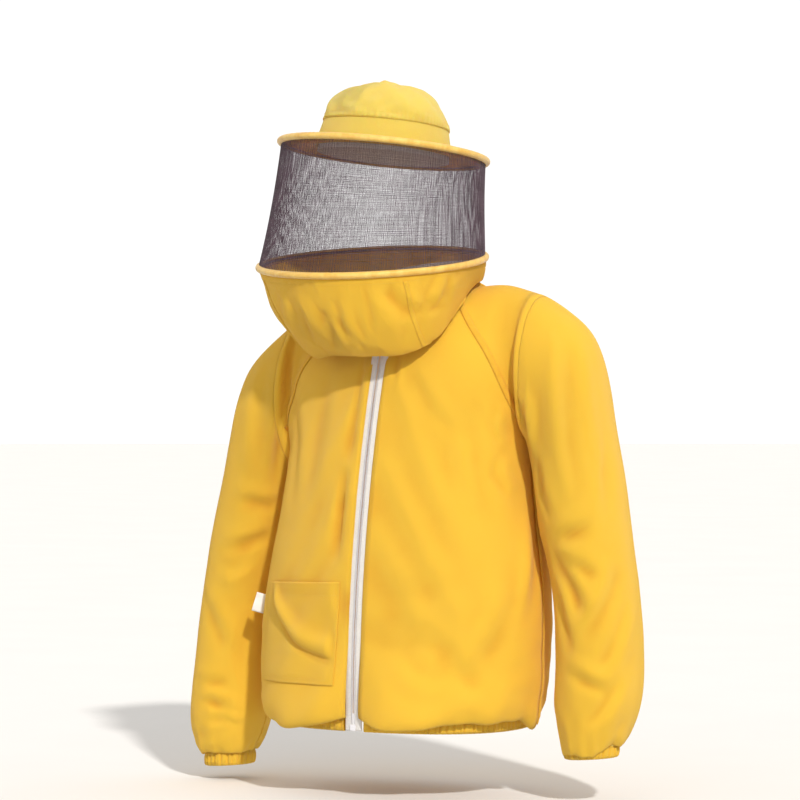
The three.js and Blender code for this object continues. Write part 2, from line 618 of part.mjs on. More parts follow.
// The skirt is cut in four gores, with seams midway between the front, the back and the sides.
const gores = ['front', 'left', 'back', 'right'];
const goreTurn = (2 * Math.PI) / gores.length;
const goreTrim = 0.006; // radians by which a gore stops short of each of its seams
const goreGrid = (gore, depth) => steps(10).map((share) => steps(8).map((u) => {
  const reach = goreTurn / 2 - goreTrim;
  return skirtPoint(gore * goreTurn + lerp(-reach, reach, u), share, depth);
}));

const netGrid = (inset) => steps(3).map((share) => hoodAngles.map((angle) => between(
  hoop.place(angle, hoopRadius - inset, pipingRadius + fitGap),
  brimCircle.place(angle, brimRadius - 1 - inset, -pipingRadius - fitGap), share)));

const crownProfile = new THREE.CatmullRomCurve3([point(crownTopRadius, bandRise + 0.6, 0),
  point(crownTopRadius - 8, bandRise + 22, 0), point(crownTopRadius - 32, crownRise - 12, 0),
  point(34, crownRise - 2, 0), point(0, crownRise, 0)]).getPoints(7).map(({ x, y }) => [Math.max(x, 0), y]);
const crownInside = crownProfile.map(([r, up], i) => {
  const steep = i < 3;
  return [Math.max(r - (steep ? cloth : 0), 0), up - (steep ? 0 : cloth)];
});

const hood = [
  ...gores.map((word, gore) =>
    slab(`neck_skirt_${word}`, goreGrid(gore, 0), goreGrid(gore, cloth), yellowDrill)),
  ...boundHoop('lower_hoop', hoop, hoopRadius, yellowDrill),
  slab('net_veil', netGrid(0), netGrid(1), blackNet, true),
];
const hat = [
  ...boundHoop('brim_hoop', brimCircle, brimRadius, yellowHat),
  turned('brim', [[crownRadius + 3, -1.2], [brimRadius - pipingRadius - fitGap, -1.2],
    [brimRadius - pipingRadius - fitGap, 1.2], [crownRadius + 3, 1.2], [crownRadius + 3, -1.2]],
  brimCircle, yellowHat),
  turned('crown_side', [[crownRadius - cloth, -1.2], [crownRadius, -1.2], [crownTopRadius, bandRise],
    [crownTopRadius - cloth, bandRise], [crownRadius - cloth, -1.2]], brimCircle, yellowHat),
  turned('crown_top', [...crownProfile, ...crownInside.slice().reverse(), crownProfile[0]],
    brimCircle, yellowHat),
  turned('sweatband', [[crownRadius - cloth - 2.2, -8], [crownRadius - cloth - 1, -8],
    [crownRadius - cloth - 6, 22], [crownRadius - cloth - 7.2, 22], [crownRadius - cloth - 2.2, -8]],
  brimCircle, elasticWeb),
];

// ---- pocket and label on the right front ------------------------------------------------------
/** A point over the right front, a distance out from its cloth. */
function rightSkin(x, z, out) {
  const spot = (px, pz) => {
    const width = halfWidth(pz);
    const angle = Math.asin((px / width) ** (roundness / 2));
    return point(px, lerp(sideSeamY, zipArc.depth(pz), Math.cos(angle) ** (2 / roundness)), pz);
  };
  const p = spot(x, z);
  const facing = spot(x + 1, z).sub(p).cross(spot(x, z + 1).sub(p)).normalize();
  p.addScaledVector(facing, out);
  return stance(point(-p.x, p.y, p.z), smoothstep(p.z, hemZ, armpitZ));
}
const patch = (name, [x0, x1], [low, high], [near, far], [columns, rows], material) => {
  const grid = (out) => steps(rows).map((v) => steps(columns).map((u) =>
    rightSkin(lerp(x0, x1, u), lerp(low, high, v), out)));
  return slab(name, grid(far), grid(near), material);
};
const trims = [
  patch('patch_pocket', [30, 186], [-596, -438], [1.2, 3], [12, 8], yellowDrill),
  patch('side_label', [222, 229], [-484, -460], [1.4, 2.4], [2, 3], whiteSatin),
];

export default new THREE.Group().add(
  panel('front_left_panel', panels.front_left),
  panel('front_right_panel', panels.front_right),
  panel('back_panel', panels.back),
  panel('left_raglan_shoulder', panels.shoulder_left),
  panel('right_raglan_shoulder', panels.shoulder_right),
  sleeveTube('left_sleeve', panels.sleeve_left),
  sleeveTube('right_sleeve', panels.sleeve_right),
  ...bands,
  ...zipParts,
  ...sliders,
  ...collarParts,
  ...hood,
  ...hat,
  ...trims,
);
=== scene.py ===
"""Looks of the beekeeping jacket with its veiled hood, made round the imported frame, in metres."""
import math

import bpy
import numpy as np
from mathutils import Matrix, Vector
from mathutils.bvhtree import BVHTree
from mathutils.kdtree import KDTree


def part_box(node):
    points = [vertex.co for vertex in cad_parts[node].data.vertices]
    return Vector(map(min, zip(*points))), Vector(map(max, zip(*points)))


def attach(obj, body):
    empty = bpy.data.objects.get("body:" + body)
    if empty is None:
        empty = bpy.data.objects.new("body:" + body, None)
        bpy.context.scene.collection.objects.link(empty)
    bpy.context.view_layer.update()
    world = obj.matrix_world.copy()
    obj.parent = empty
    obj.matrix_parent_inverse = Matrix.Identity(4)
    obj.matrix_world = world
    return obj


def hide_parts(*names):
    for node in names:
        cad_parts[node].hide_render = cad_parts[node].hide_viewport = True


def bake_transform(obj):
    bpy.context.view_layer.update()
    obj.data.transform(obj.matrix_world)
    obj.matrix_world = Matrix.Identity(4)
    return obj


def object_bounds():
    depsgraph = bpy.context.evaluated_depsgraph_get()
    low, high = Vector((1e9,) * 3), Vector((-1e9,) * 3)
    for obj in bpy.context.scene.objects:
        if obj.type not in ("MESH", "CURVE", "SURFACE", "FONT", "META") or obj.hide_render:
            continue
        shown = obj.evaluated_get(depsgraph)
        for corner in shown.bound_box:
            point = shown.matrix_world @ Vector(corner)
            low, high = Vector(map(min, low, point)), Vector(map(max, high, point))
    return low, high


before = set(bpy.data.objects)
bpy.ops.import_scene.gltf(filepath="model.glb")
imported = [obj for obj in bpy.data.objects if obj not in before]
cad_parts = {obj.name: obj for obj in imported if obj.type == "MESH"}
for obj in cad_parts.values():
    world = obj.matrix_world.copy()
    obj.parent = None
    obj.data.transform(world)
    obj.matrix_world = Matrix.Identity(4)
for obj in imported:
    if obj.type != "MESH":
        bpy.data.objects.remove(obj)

cad_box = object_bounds()

# ---- Camera and studio ------------------------------------------------------------------------
# A long lens level with the chest, seen from the wearer's left front. The studio is a pale floor in a
# white surround, lit by a soft sky and one sun from the viewer's upper right.
scene = bpy.context.scene
scene.view_settings.view_transform = "Standard"
view_turn = math.radians(30)
view_right = Vector((math.cos(view_turn), math.sin(view_turn), 0))
view_back = Vector((math.sin(view_turn), -math.cos(view_turn), 0))
lens = bpy.data.cameras.new("camera")
lens.lens = 145
lens.clip_end = 90
camera = bpy.data.objects.new("camera", lens)
camera.location = view_right * -0.030 + Vector((0, 0, -0.163)) + view_back * 5
camera.rotation_euler = (math.pi / 2, 0, view_turn)
scene.collection.objects.link(camera)
scene.camera = camera

sun = bpy.data.lights.new("sun", "SUN")
sun.energy = 2.5
sun.angle = math.radians(3)
sun.color = (1.0, 0.96, 0.9)
sun_object = bpy.data.objects.new("sun", sun)
sun_from = view_right * 0.3 + view_back + Vector((0, 0, 0.75))
sun_object.rotation_euler = sun_from.to_track_quat("Z", "Y").to_euler()
scene.collection.objects.link(sun_object)
world = bpy.data.worlds.new("sky")
scene.world = world
world.use_nodes = True
world.node_tree.nodes["Background"].inputs["Color"].default_value = (1.0, 0.97, 0.93, 1)
world.node_tree.nodes["Background"].inputs["Strength"].default_value = 0.72


class Shade:
    """One value in a material's node tree, which adds and multiplies as a number does."""

    def __init__(self, tree, socket=None):
        self.tree, self.socket = tree, socket

    def make(self, kind, inputs=(), output=0, **settings):
        """A new node with its settings and inputs; gives one of its outputs."""
        node = self.tree.nodes.new(kind)
        for name, value in settings.items():
            setattr(node, name, value)
        for name, value in dict(inputs).items():
            if isinstance(value, Shade):
                self.tree.links.new(value.socket, node.inputs[name])
            else:
                node.inputs[name].default_value = value
        return Shade(self.tree, node.outputs[output])

    def maths(self, operation, *others):
        return self.make("ShaderNodeMath", enumerate((self, *others)), operation=operation)

    def __add__(self, other):
        return self.maths("ADD", other)

    __radd__ = __add__

    def __mul__(self, other):
        return self.maths("MULTIPLY", other)

    __rmul__ = __mul__

    def __sub__(self, other):
        return self.maths("SUBTRACT", other)

    def __rsub__(self, other):
        return self * -1 + other

    def sine(self):
        return self.maths("SINE")

    def rise(self, low, high):
        """0 below low, 1 above high, smooth between them."""
        inputs = {"Value": self, "From Min": low, "From Max": high}
        return self.make("ShaderNodeMapRange", inputs, interpolation_type="SMOOTHSTEP")

    def between(self, first, second):
        """The first colour where this is 0 and the second where it is 1."""
        return self.make("ShaderNodeMix", {0: self, 6: first, 7: second}, output=2, data_type="RGBA")

    def noise(self, place, scale, detail=3.0):
        inputs = {"Vector": place, "Scale": scale, "Detail": detail}
        return self.make("ShaderNodeTexNoise", inputs)


def new_material(name, recipe, **constants):
    """A material whose recipe gives its varying inputs and its bump height, with its depth in metres."""
    material = bpy.data.materials.new(name)
    material.use_nodes = True
    shader = material.node_tree.nodes["Principled BSDF"]
    varying, height, depth = recipe(Shade(material.node_tree))
    bump = height.make("ShaderNodeBump", {"Height": height, "Distance": depth, "Strength": 1.0})
    for socket, value in {**varying, "Normal": bump}.items():
        material.node_tree.links.new(value.socket, shader.inputs[socket])
    for socket, value in constants.items():
        shader.inputs[socket.replace("_", " ")].default_value = value
    return material


def add_piece(name, mesh, looks):
    """A mesh as a shown object with its material and smooth faces."""
    mesh.materials.clear()
    mesh.materials.append(looks)
    mesh.polygons.foreach_set("use_smooth", [True] * len(mesh.polygons))
    mesh.polygons.foreach_set("material_index", [0] * len(mesh.polygons))
    piece = bpy.data.objects.new(name, mesh)
    scene.collection.objects.link(piece)
    return piece


def studio_paint(shade):
    place = shade.make("ShaderNodeTexCoord", output=3)
    grain = shade.noise(place, 3.0)
    return {"Base Color": grain.between((0.86, 0.86, 0.86, 1), (0.9, 0.9, 0.9, 1))}, grain, 0.0002


def white_glow(shade):
    place = shade.make("ShaderNodeTexCoord", output=3)
    grain = shade.noise(place, 0.02)
    white = (1, 1, 1, 1)
    return {"Emission Color": grain.between(white, white)}, grain, 0.0


floor_mesh = bpy.data.meshes.new("floor")
floor_z = cad_box[0][2] - 0.02
floor_corners = [(-40, -40, floor_z), (40, -40, floor_z), (40, 40, floor_z), (-40, 40, floor_z)]
floor_mesh.from_pydata(floor_corners, [], [(0, 1, 2, 3)])
floor = add_piece("floor", floor_mesh, new_material("studio_floor", studio_paint, Roughness=0.9))
floor.visible_diffuse = False
turns = [math.tau * i / 48 for i in range(48)]
wall_rings = [(40, floor_z), (40, 40)]
wall_points = [(r * math.cos(a), r * math.sin(a), z) for r, z in wall_rings for a in turns]
wall_faces = [(i, (i + 1) % 48, 48 + (i + 1) % 48, 48 + i) for i in range(48)]
surround_mesh = bpy.data.meshes.new("surround")
surround_mesh.from_pydata(wall_points, [], wall_faces)
glow = new_material("surround_glow", white_glow, Emission_Strength=1.0, Base_Color=(0, 0, 0, 1))
surround = add_piece("surround", surround_mesh, glow)
for flag in ("visible_diffuse", "visible_glossy", "visible_transmission", "visible_shadow"):
    setattr(surround, flag, False)

# ---- Cotton drill -----------------------------------------------------------------------------
# The jacket and skirt are a yellow cotton drill with fine diagonal ribs. Its colour is painted deeper and
# redder where the cloth dips, as painted shade, and paler where it stands proud, as painted light; it is
# also slightly uneven from dyeing and wear.
thread = 0.0011


def woven(light, deep, rib_depth=0.00012):
    """A recipe for twill in the mesh's own lengthwise and crosswise metres."""

    def recipe(shade):
        place = shade.make("ShaderNodeUVMap", uv_map="cloth")
        parts = shade.make("ShaderNodeSeparateXYZ", {0: place})
        across = parts
        along = Shade(shade.tree, parts.socket.node.outputs[1])
        ribs = ((across + along) * (math.tau / thread)).sine()
        picks = ((along - across) * (math.tau / (thread * 1.7))).sine()
        object_place = shade.make("ShaderNodeTexCoord", output=3)
        slubs = shade.noise(object_place, 420.0, 2.0)
        dye = shade.noise(object_place, 14.0, 4.0)
        # Painted shade and light: the colour goes towards the deep colour where the cloth dips and towards
        # the light one where it stands proud; the dye, rib and slub terms are the cloth's own uneven tone.
        hollow_shade = shade.make("ShaderNodeAttribute", output=2, attribute_name="hollow_shade")
        depth = hollow_shade * 0.75 + (dye - 0.5) * 0.5 + ribs * 0.03 + (slubs - 0.5) * 0.16
        colour = depth.rise(-0.15, 0.95).between(light, deep)
        rough = (dye * 0.12 + 0.8)
        return {"Base Color": colour, "Roughness": rough}, ribs + picks * 0.5 + slubs * 1.5, rib_depth

    return recipe


# The deep colours of the drill and of the hat cotton are painted shade in the cloth's dips, and also the
# darker end of its uneven dye; the sewing thread's deep colour is its dye alone.
drill_light = (0.93, 0.53, 0.045, 1)
drill_shade_and_dark_dye = (0.72, 0.25, 0.012, 1)
drill = new_material("yellow_drill", woven(drill_light, drill_shade_and_dark_dye), Sheen_Weight=0.12,
                     Sheen_Roughness=0.5, Specular_IOR_Level=0.2, Subsurface_Weight=0.12,
                     Subsurface_Radius=(0.012, 0.005, 0.001), Subsurface_Scale=1.0)
hat_cotton = new_material("pale_hat_cotton", woven((0.93, 0.60, 0.12, 1), (0.80, 0.36, 0.03, 1)),
                          Sheen_Weight=0.15, Specular_IOR_Level=0.25, Subsurface_Weight=0.6,
                          Subsurface_Radius=(0.006, 0.003, 0.0008), Subsurface_Scale=1.0)
thread_cotton = new_material("sewing_thread", woven((0.93, 0.60, 0.10, 1), (0.72, 0.34, 0.03, 1)),
                             Specular_IOR_Level=0.4)

# ---- Jacket cloth: shape ----------------------------------------------------------------------
# Two fronts, a back, two raglan shoulders and two sleeves, cut from drill and sewn into one skin. The
# skin follows the frame's panels; its rows and columns meet at the seams.
collar_radius = 0.092
collar_tilt = math.radians(12)
collar_height = 0.005
armpit_z = -0.237
armpit_x = 0.205
shoulder_x = 0.216
shoulder_top = -0.014
side_y = 0.004
roundness = 2.35
hem_z = -0.642
hem_half_width = 0.206
blouse_half_width = 0.238
hem_half_depth = 0.134
zip_top = (-0.096, -0.022)
zip_bottom = (-0.152, -0.640)
zip_bulge = 0.026
zip_half = 0.0105
zip_clear = 0.0006
sleeve_half_width = 0.064
sleeve_half_depth = 0.074
sleeve_inner_x = 0.265
cuff_z = -0.702
cuff_inner_x = 0.284
cuff_y = 0.012
cuff_half_width = 0.041
lean = 0.045
shoulder_tilt = 0.07
raglan_angles = (math.radians(65), math.radians(115))


def clamp(value, low, high):
    return max(low, min(high, value))


def mix(first, second, share):
    return first + (second - first) * share


def smooth(value, low, high):
    share = np.clip((value - low) / (high - low), 0, 1)
    return share * share * (3 - 2 * share)


def through(*stations):
    """A smooth function through (at, value) stations, level beyond its ends."""
    last = len(stations) - 1

    def slope(i):
        (x0, y0), (x1, y1) = stations[max(i - 1, 0)], stations[min(i + 1, last)]
        return (y1 - y0) / (x1 - x0)

    def value(at):
        if at <= stations[0][0]:
            return stations[0][1]
        if at >= stations[last][0]:
            return stations[last][1]
        i = next(k for k, (place, _) in enumerate(stations) if place > at) - 1
        (x0, a), (x1, b) = stations[i], stations[i + 1]
        span = x1 - x0
        t = (at - x0) / span
        bend = slope(i) * (t - 2 * t**2 + t**3) + slope(i + 1) * (t**3 - t**2)
        return a + (b - a) * (3 * t**2 - 2 * t**3) + bend * span

    return value


def spline(points):
    """A centripetal curve through points, as a function of the share of its spans."""
    points = [np.array(p, float) for p in points]
    ends = [2 * points[0] - points[1], *points, 2 * points[-1] - points[-2]]

    def place(share):
        at = clamp(share, 0, 1) * (len(points) - 1)
        i = min(int(at), len(points) - 2)
        t = at - i
        p0, p1, p2, p3 = ends[i:i + 4]
        d0, d1, d2 = (max(np.sum((b - a) ** 2), 1e-16) ** 0.25 for a, b in ((p0, p1), (p1, p2), (p2, p3)))
        m1 = ((p1 - p0) / d0 - (p2 - p0) / (d0 + d1) + (p2 - p1) / d1) * d1
        m2 = ((p2 - p1) / d1 - (p3 - p1) / (d1 + d2) + (p3 - p2) / d2) * d1
        return p1 + m1 * t + (3 * (p2 - p1) - 2 * m1 - m2) * t**2 + (2 * (p1 - p2) + m1 + m2) * t**3

    return place


def circle_frame(centre, ahead, side):
    """place(angle, out, up) round a circle; its angle runs from the front to the wearer's left."""
    centre, ahead, side = (np.array(v, float) for v in (centre, ahead, side))
    up = np.cross(ahead, side)
    up /= np.linalg.norm(up)

    def place(angle, out, rise=0.0):
        return centre + ahead * math.cos(angle) * out + side * math.sin(angle) * out + up * rise

    return place, up, centre


def stance(p, tilt=1.0):
    """A point of the straight garment moved into the stance it is worn in."""
    return np.array((p[0] + lean * min(p[2], 0), p[1], p[2] + shoulder_tilt * tilt * p[0]))


neck_ahead = np.array((0, -math.cos(collar_tilt), -math.sin(collar_tilt)))
neck_side = np.array((1, 0, shoulder_tilt))
neck_side = neck_side - neck_ahead * neck_side.dot(neck_ahead)
neck_side /= np.linalg.norm(neck_side)
neck_place, neck_up, neck_centre = circle_frame((0, 0, collar_height), neck_ahead, neck_side)

chord = np.subtract(zip_top, zip_bottom)
arc_radius = chord.dot(chord) / (8 * zip_bulge) + zip_bulge / 2
arc_inwards = np.array((chord[1], -chord[0])) / np.linalg.norm(chord)
arc_y, arc_z = np.add(zip_top, zip_bottom) / 2 + arc_inwards * (arc_radius - zip_bulge)


def front_depth(z):
    return arc_y - math.sqrt(arc_radius**2 - (z - arc_z) ** 2)


back_depth = through((hem_z, hem_half_depth - 0.004), (-0.54, 0.144), (-0.38, 0.138), (-0.16, 0.126),
                     (0.03, 0.088))
half_width = through((hem_z, hem_half_width), (-0.6, 0.228), (-0.53, blouse_half_width),
                     (-0.44, blouse_half_width - 0.006), (-0.32, 0.213), (armpit_z, armpit_x))
armpit = (armpit_x, side_y, armpit_z)


def seam_top(angle):
    p = neck_place(angle, collar_radius)
    return p - (0, 0, shoulder_tilt * p[0])


raglan_front = spline([armpit, (0.198, -0.048, -0.186), (0.168, -0.076, -0.108),
                       (0.122, -0.066, -0.05), seam_top(raglan_angles[0])])
raglan_back = spline([armpit, (0.2, 0.058, -0.18), (0.17, 0.088, -0.092),
                      (0.124, 0.072, -0.018), seam_top(raglan_angles[1])])
cells = 0.0098
low_rows = round((armpit_z - hem_z) / cells)
high_rows = round(-armpit_z / cells)
body_columns = 22
sleeve_columns = 48
sleeve_rows = round((armpit_z - cuff_z) / cells)
joint_share = 1 / 7


def body_row(middle, end, side, power, back, tilt, hand):
    """One row of the front or back, from its middle line to the side or raglan seam."""
    depth = abs(middle[1] - side)
    last = math.acos(clamp(abs(end[1] - side) / depth, 0, 1) ** (power / 2))
    width = end[0] / math.sin(last) ** (2 / power)
    first = 0 if back else math.asin(((zip_half + zip_clear) / width) ** (power / 2))
    row = []
    for j in range(body_columns + 1):
        angle = mix(first, last, j / body_columns)
        x = width * math.sin(angle) ** (2 / power)
        y = side + math.copysign(depth, middle[1] - side) * math.cos(angle) ** (2 / power)
        z = mix(middle[2], end[2], (1 - math.cos(angle)) / (1 - math.cos(last)))
        row.append(stance((hand * x, y, z), tilt))
    return row


def body_grid(back, hand):
    """One half of the front or back, from the hem up to the neckline."""
    depth_at = back_depth if back else front_depth
    seam = raglan_back if back else raglan_front
    rows = []
    for i in range(low_rows + 1):
        z = mix(hem_z, armpit_z, i / low_rows)
        tilt = float(smooth(z, hem_z, armpit_z))
        end = (half_width(z), side_y, z)
        rows.append(body_row((0, depth_at(z), z), end, side_y, roundness, back, tilt, hand))
    top = neck_place(math.pi if back else 0, collar_radius)
    for i in range(1, high_rows + 1):
        share = i / high_rows
        z = mix(armpit_z, top[2], share)
        middle = (0, mix(depth_at(z), top[1], share**6), z)
        power = mix(roundness, 2, share)
        rows.append(body_row(middle, seam(share), mix(side_y, 0, share), power, back, 1.0, hand))
    return np.array(rows)


underarm = spline([armpit, (shoulder_x, side_y, armpit_z - 0.013),
                   (shoulder_x + 0.005, 0.006, armpit_z - 0.049),
                   (0.232, 0.012, -0.366), (sleeve_inner_x - 0.008, 0.02, -0.47),
                   (sleeve_inner_x, 0.02, -0.58), (sleeve_inner_x, 0.016, cuff_z + 0.052),
                   (cuff_inner_x, cuff_y, cuff_z)])
outer_arm = spline([(armpit_x, 0.006, shoulder_top), (shoulder_x, 0.006, shoulder_top - 0.004),
                    (0.3, 0.006, -0.086), (0.345, 0.012, -0.262),
                    (sleeve_inner_x + 2 * sleeve_half_width - 0.016, 0.02, -0.43),
                    (sleeve_inner_x + 2 * sleeve_half_width, 0.02, -0.565),
                    (sleeve_inner_x + 2 * sleeve_half_width, 0.016, cuff_z + 0.047),
                    (cuff_inner_x + 2 * cuff_half_width, cuff_y, cuff_z)])
sleeve_depth = through((0, sleeve_half_depth + 0.004), (4 / 7, sleeve_half_depth),
                       (6 / 7, sleeve_half_depth - 0.008), (1, cuff_half_width - 0.002))


def sleeve_point(share, angle):
    p = mix(underarm(share), outer_arm(share), (1 - math.cos(angle)) / 2)
    return p - (0, sleeve_depth(share) * math.sin(angle), 0)


def sleeve_ring(share):
    return [sleeve_point(share, math.tau * j / sleeve_columns) for j in range(sleeve_columns + 1)]


def raglan_rows():
    """The sleeve's part between its two raglan seams, from the armpit ring to the neckline."""
    middle = sleeve_columns // 2

    def angle_at(z):
        return math.acos(clamp(1 - 2 * (z - armpit_z) / (shoulder_top - armpit_z), -1, 1))

    neck = [seam_top(mix(*raglan_angles, j / sleeve_columns)) for j in range(sleeve_columns + 1)]
    ridge = spline([sleeve_point(0, math.pi), (0.15, 0.004, 0.004), neck[middle]])
    shares = np.arange(sleeve_columns + 1) / sleeve_columns
    rows = []
    for i in range(high_rows + 1):
        share = i / high_rows
        front, back = raglan_front(share), raglan_back(share)
        start, stop = angle_at(front[2]), math.tau - angle_at(back[2])
        ring = np.array([sleeve_point(0, mix(start, stop, u)) for u in shares])
        row = mix(ring, np.array(neck), share)
        row = row + np.outer(1 - shares, front - row[0]) + np.outer(shares, back - row[-1])
        row = row + np.outer(np.sin(math.pi * shares), ridge(share) - row[middle])
        rows.append(row)
    return rows


def handed(rows, hand):
    return np.array([[stance((hand * p[0], p[1], p[2])) for p in row] for row in rows])


joint_rows = [sleeve_ring(joint_share * (1 - k / 2)) for k in range(2)]
shoulder_half = [*joint_rows, *raglan_rows()]
sleeve_half = [sleeve_ring(mix(joint_share, 1, i / sleeve_rows)) for i in range(sleeve_rows + 1)]
back_left, back_right = body_grid(True, 1), body_grid(True, -1)
panel_grids = {
    "front_left": (body_grid(False, 1), 1),
    "front_right": (body_grid(False, -1), -1),
    "back": (np.concatenate([back_left[:, ::-1], back_right[:, 1:]], axis=1), 1),
    "left_shoulder": (handed(shoulder_half, 1), 1),
    "right_shoulder": (handed(shoulder_half, -1), -1),
    "left_sleeve": (handed(sleeve_half, 1), -1),
    "right_sleeve": (handed(sleeve_half, -1), 1),
}
skin_points, skin_faces, skin_uvs, skin_panels, skin_index = [], [], [], [], {}
known = {}
for number, (name, (grid, hand)) in enumerate(panel_grids.items()):
    rows, columns = grid.shape[:2]
    index = np.zeros((rows, columns), int)
    for i in range(rows):
        for j in range(columns):
            key = tuple(np.round(grid[i, j] * 5e3).astype(int))
            if key not in known:
                known[key] = len(skin_points)
                skin_points.append(grid[i, j])
            index[i, j] = known[key]
    skin_index[name] = index
    across = np.cumsum(np.linalg.norm(np.diff(grid, axis=1, prepend=grid[:, :1]), axis=2), axis=1)
    along = np.cumsum(np.linalg.norm(np.diff(grid, axis=0, prepend=grid[:1]), axis=2), axis=0)
    along = np.repeat(along.mean(axis=1, keepdims=True), columns, axis=1)
    for i in range(rows - 1):
        for j in range(columns - 1):
            corners = [(i, j), (i, j + 1), (i + 1, j + 1), (i + 1, j)]
            corners = corners if hand > 0 else corners[::-1]
            if len({index[c] for c in corners}) < 4:
                continue
            skin_faces.append([int(index[c]) for c in corners])
            skin_uvs.extend((across[c] + number, along[c]) for c in corners)
            skin_panels.append(number)
skin_points = np.array(skin_points)
skin_faces = np.array(skin_faces)


def vertex_normals(points, faces):
    """Smooth normals of a mesh of four-sided faces."""
    facing = np.cross(points[faces[:, 2]] - points[faces[:, 0]], points[faces[:, 3]] - points[faces[:, 1]])
    normals = np.zeros_like(points)
    for corner in range(4):
        np.add.at(normals, faces[:, corner], facing)
    return normals / np.maximum(np.linalg.norm(normals, axis=1, keepdims=True), 1e-12)


# ---- Jacket cloth: folds ----------------------------------------------------------------------
# An all-over unevenness and gathers at the hem and cuffs, which cloth simulation lets settle a little
# under gravity. The cloth then rolls over the hem and cuffs, and drag lines are pressed in where the
# body and the elastic pull it.
def even(points, step):
    """A path's points, spaced evenly."""
    points = np.array(points, float)
    lengths = np.concatenate([[0], np.cumsum(np.linalg.norm(np.diff(points, axis=0), axis=1))])
    at = np.linspace(0, lengths[-1], max(int(lengths[-1] / step), 2) + 1)
    return np.array([[np.interp(a, lengths, points[:, k]) for k in range(3)] for a in at])


def fold(points, normals, path, width, height):
    """A ridge (or, with a height below 0, a crease) along a path, with a shallower one beside it."""
    path = even(path, 0.004)
    best = np.full(len(points), np.inf)
    side = np.zeros(len(points))
    run = np.zeros(len(points))
    total = len(path) - 1
    for k in range(total):
        a, b = path[k], path[k + 1]
        way = b - a
        t = np.clip((points - a) @ way / way.dot(way), 0, 1)
        off = points - a - t[:, None] * way
        far = np.linalg.norm(off, axis=1)
        near = far < best
        best[near] = far[near]
        turn = np.einsum("ij,ij->i", np.cross(np.broadcast_to(way, off.shape), off), normals)
        side[near] = np.sign(turn[near])
        run[near] = ((k + t) / total)[near]
    taper = np.sin(np.pi * np.clip(run, 0, 1)) ** 0.7
    signed = best * side
    main = np.exp(-(best / width) ** 2)
    beside = np.exp(-((signed - 1.7 * width) / (1.1 * width)) ** 2)
    return height * taper * (main - 0.55 * beside)


def unevenness(points, wavelength, seed, stretch=(1, 1, 1)):
    """A smooth random height between about -1 and 1, longer where stretch is under 1."""
    dice = np.random.default_rng(seed)
    total = np.zeros(len(points))
    for _ in range(7):
        way = dice.normal(size=3)
        way *= np.array(stretch) / np.linalg.norm(way)
        wave = math.tau / (wavelength * dice.uniform(0.7, 1.5))
        bend = 0.9 * np.sin(points @ dice.normal(size=3) * wave * 0.35 + dice.uniform(0, 6))
        total += np.sin(points @ way * wave + dice.uniform(0, 6) + bend)
    return total / 4


skin_normals = vertex_normals(skin_points, skin_faces)
x, y, z = skin_points.T
height = 0.0022 * unevenness(skin_points, 0.16, 3, (1.0, 1.0, 0.45))
height += 0.0006 * unevenness(skin_points, 0.06, 5, (1.0, 1.0, 0.6))
on_sleeve = np.zeros(len(skin_points), bool)
for name in ("left_sleeve", "right_sleeve"):
    on_sleeve[skin_index[name].ravel()] = True
on_body = ~on_sleeve
for name in ("left_shoulder", "right_shoulder"):
    on_body[skin_index[name][3:].ravel()] = False
body_turn = np.arctan2(x - lean * z, -(y - side_y))
gathers = np.sin(body_turn * 27 + 1.6 * np.sin(body_turn * 5) + 2) + 0.6 * np.sin(body_turn * 41 + 1)
hem_pull = smooth(z, -0.585, hem_z) * smooth(z, hem_z - 0.002, hem_z + 0.016)
height += np.where(on_body, 0.0028 * gathers * hem_pull, 0)
for name, hand in (("left_sleeve", 1), ("right_sleeve", -1)):
    index = skin_index[name]
    turn = np.linspace(0, math.tau, index.shape[1])
    pleats = np.sin(turn * 13 + 1.3 * np.sin(turn * 3 + hand)) + 0.5 * np.sin(turn * 22 + hand)
    height[index] += 0.0024 * np.outer(smooth(np.linspace(0, 1, index.shape[0]), 0.8, 0.98), pleats)
held = np.zeros(len(skin_points))
for name in ("front_left", "front_right", "back"):
    held[skin_index[name][0]] = 1
    held[skin_index[name][-1]] = 1
for name in ("front_left", "front_right"):
    held[skin_index[name][:, 0]] = 1
for name in ("left_shoulder", "right_shoulder"):
    held[skin_index[name][-1]] = 1
for name in ("left_sleeve", "right_sleeve"):
    held[skin_index[name][-1]] = 1
shaped = skin_points + skin_normals * (height * (1 - held))[:, None]


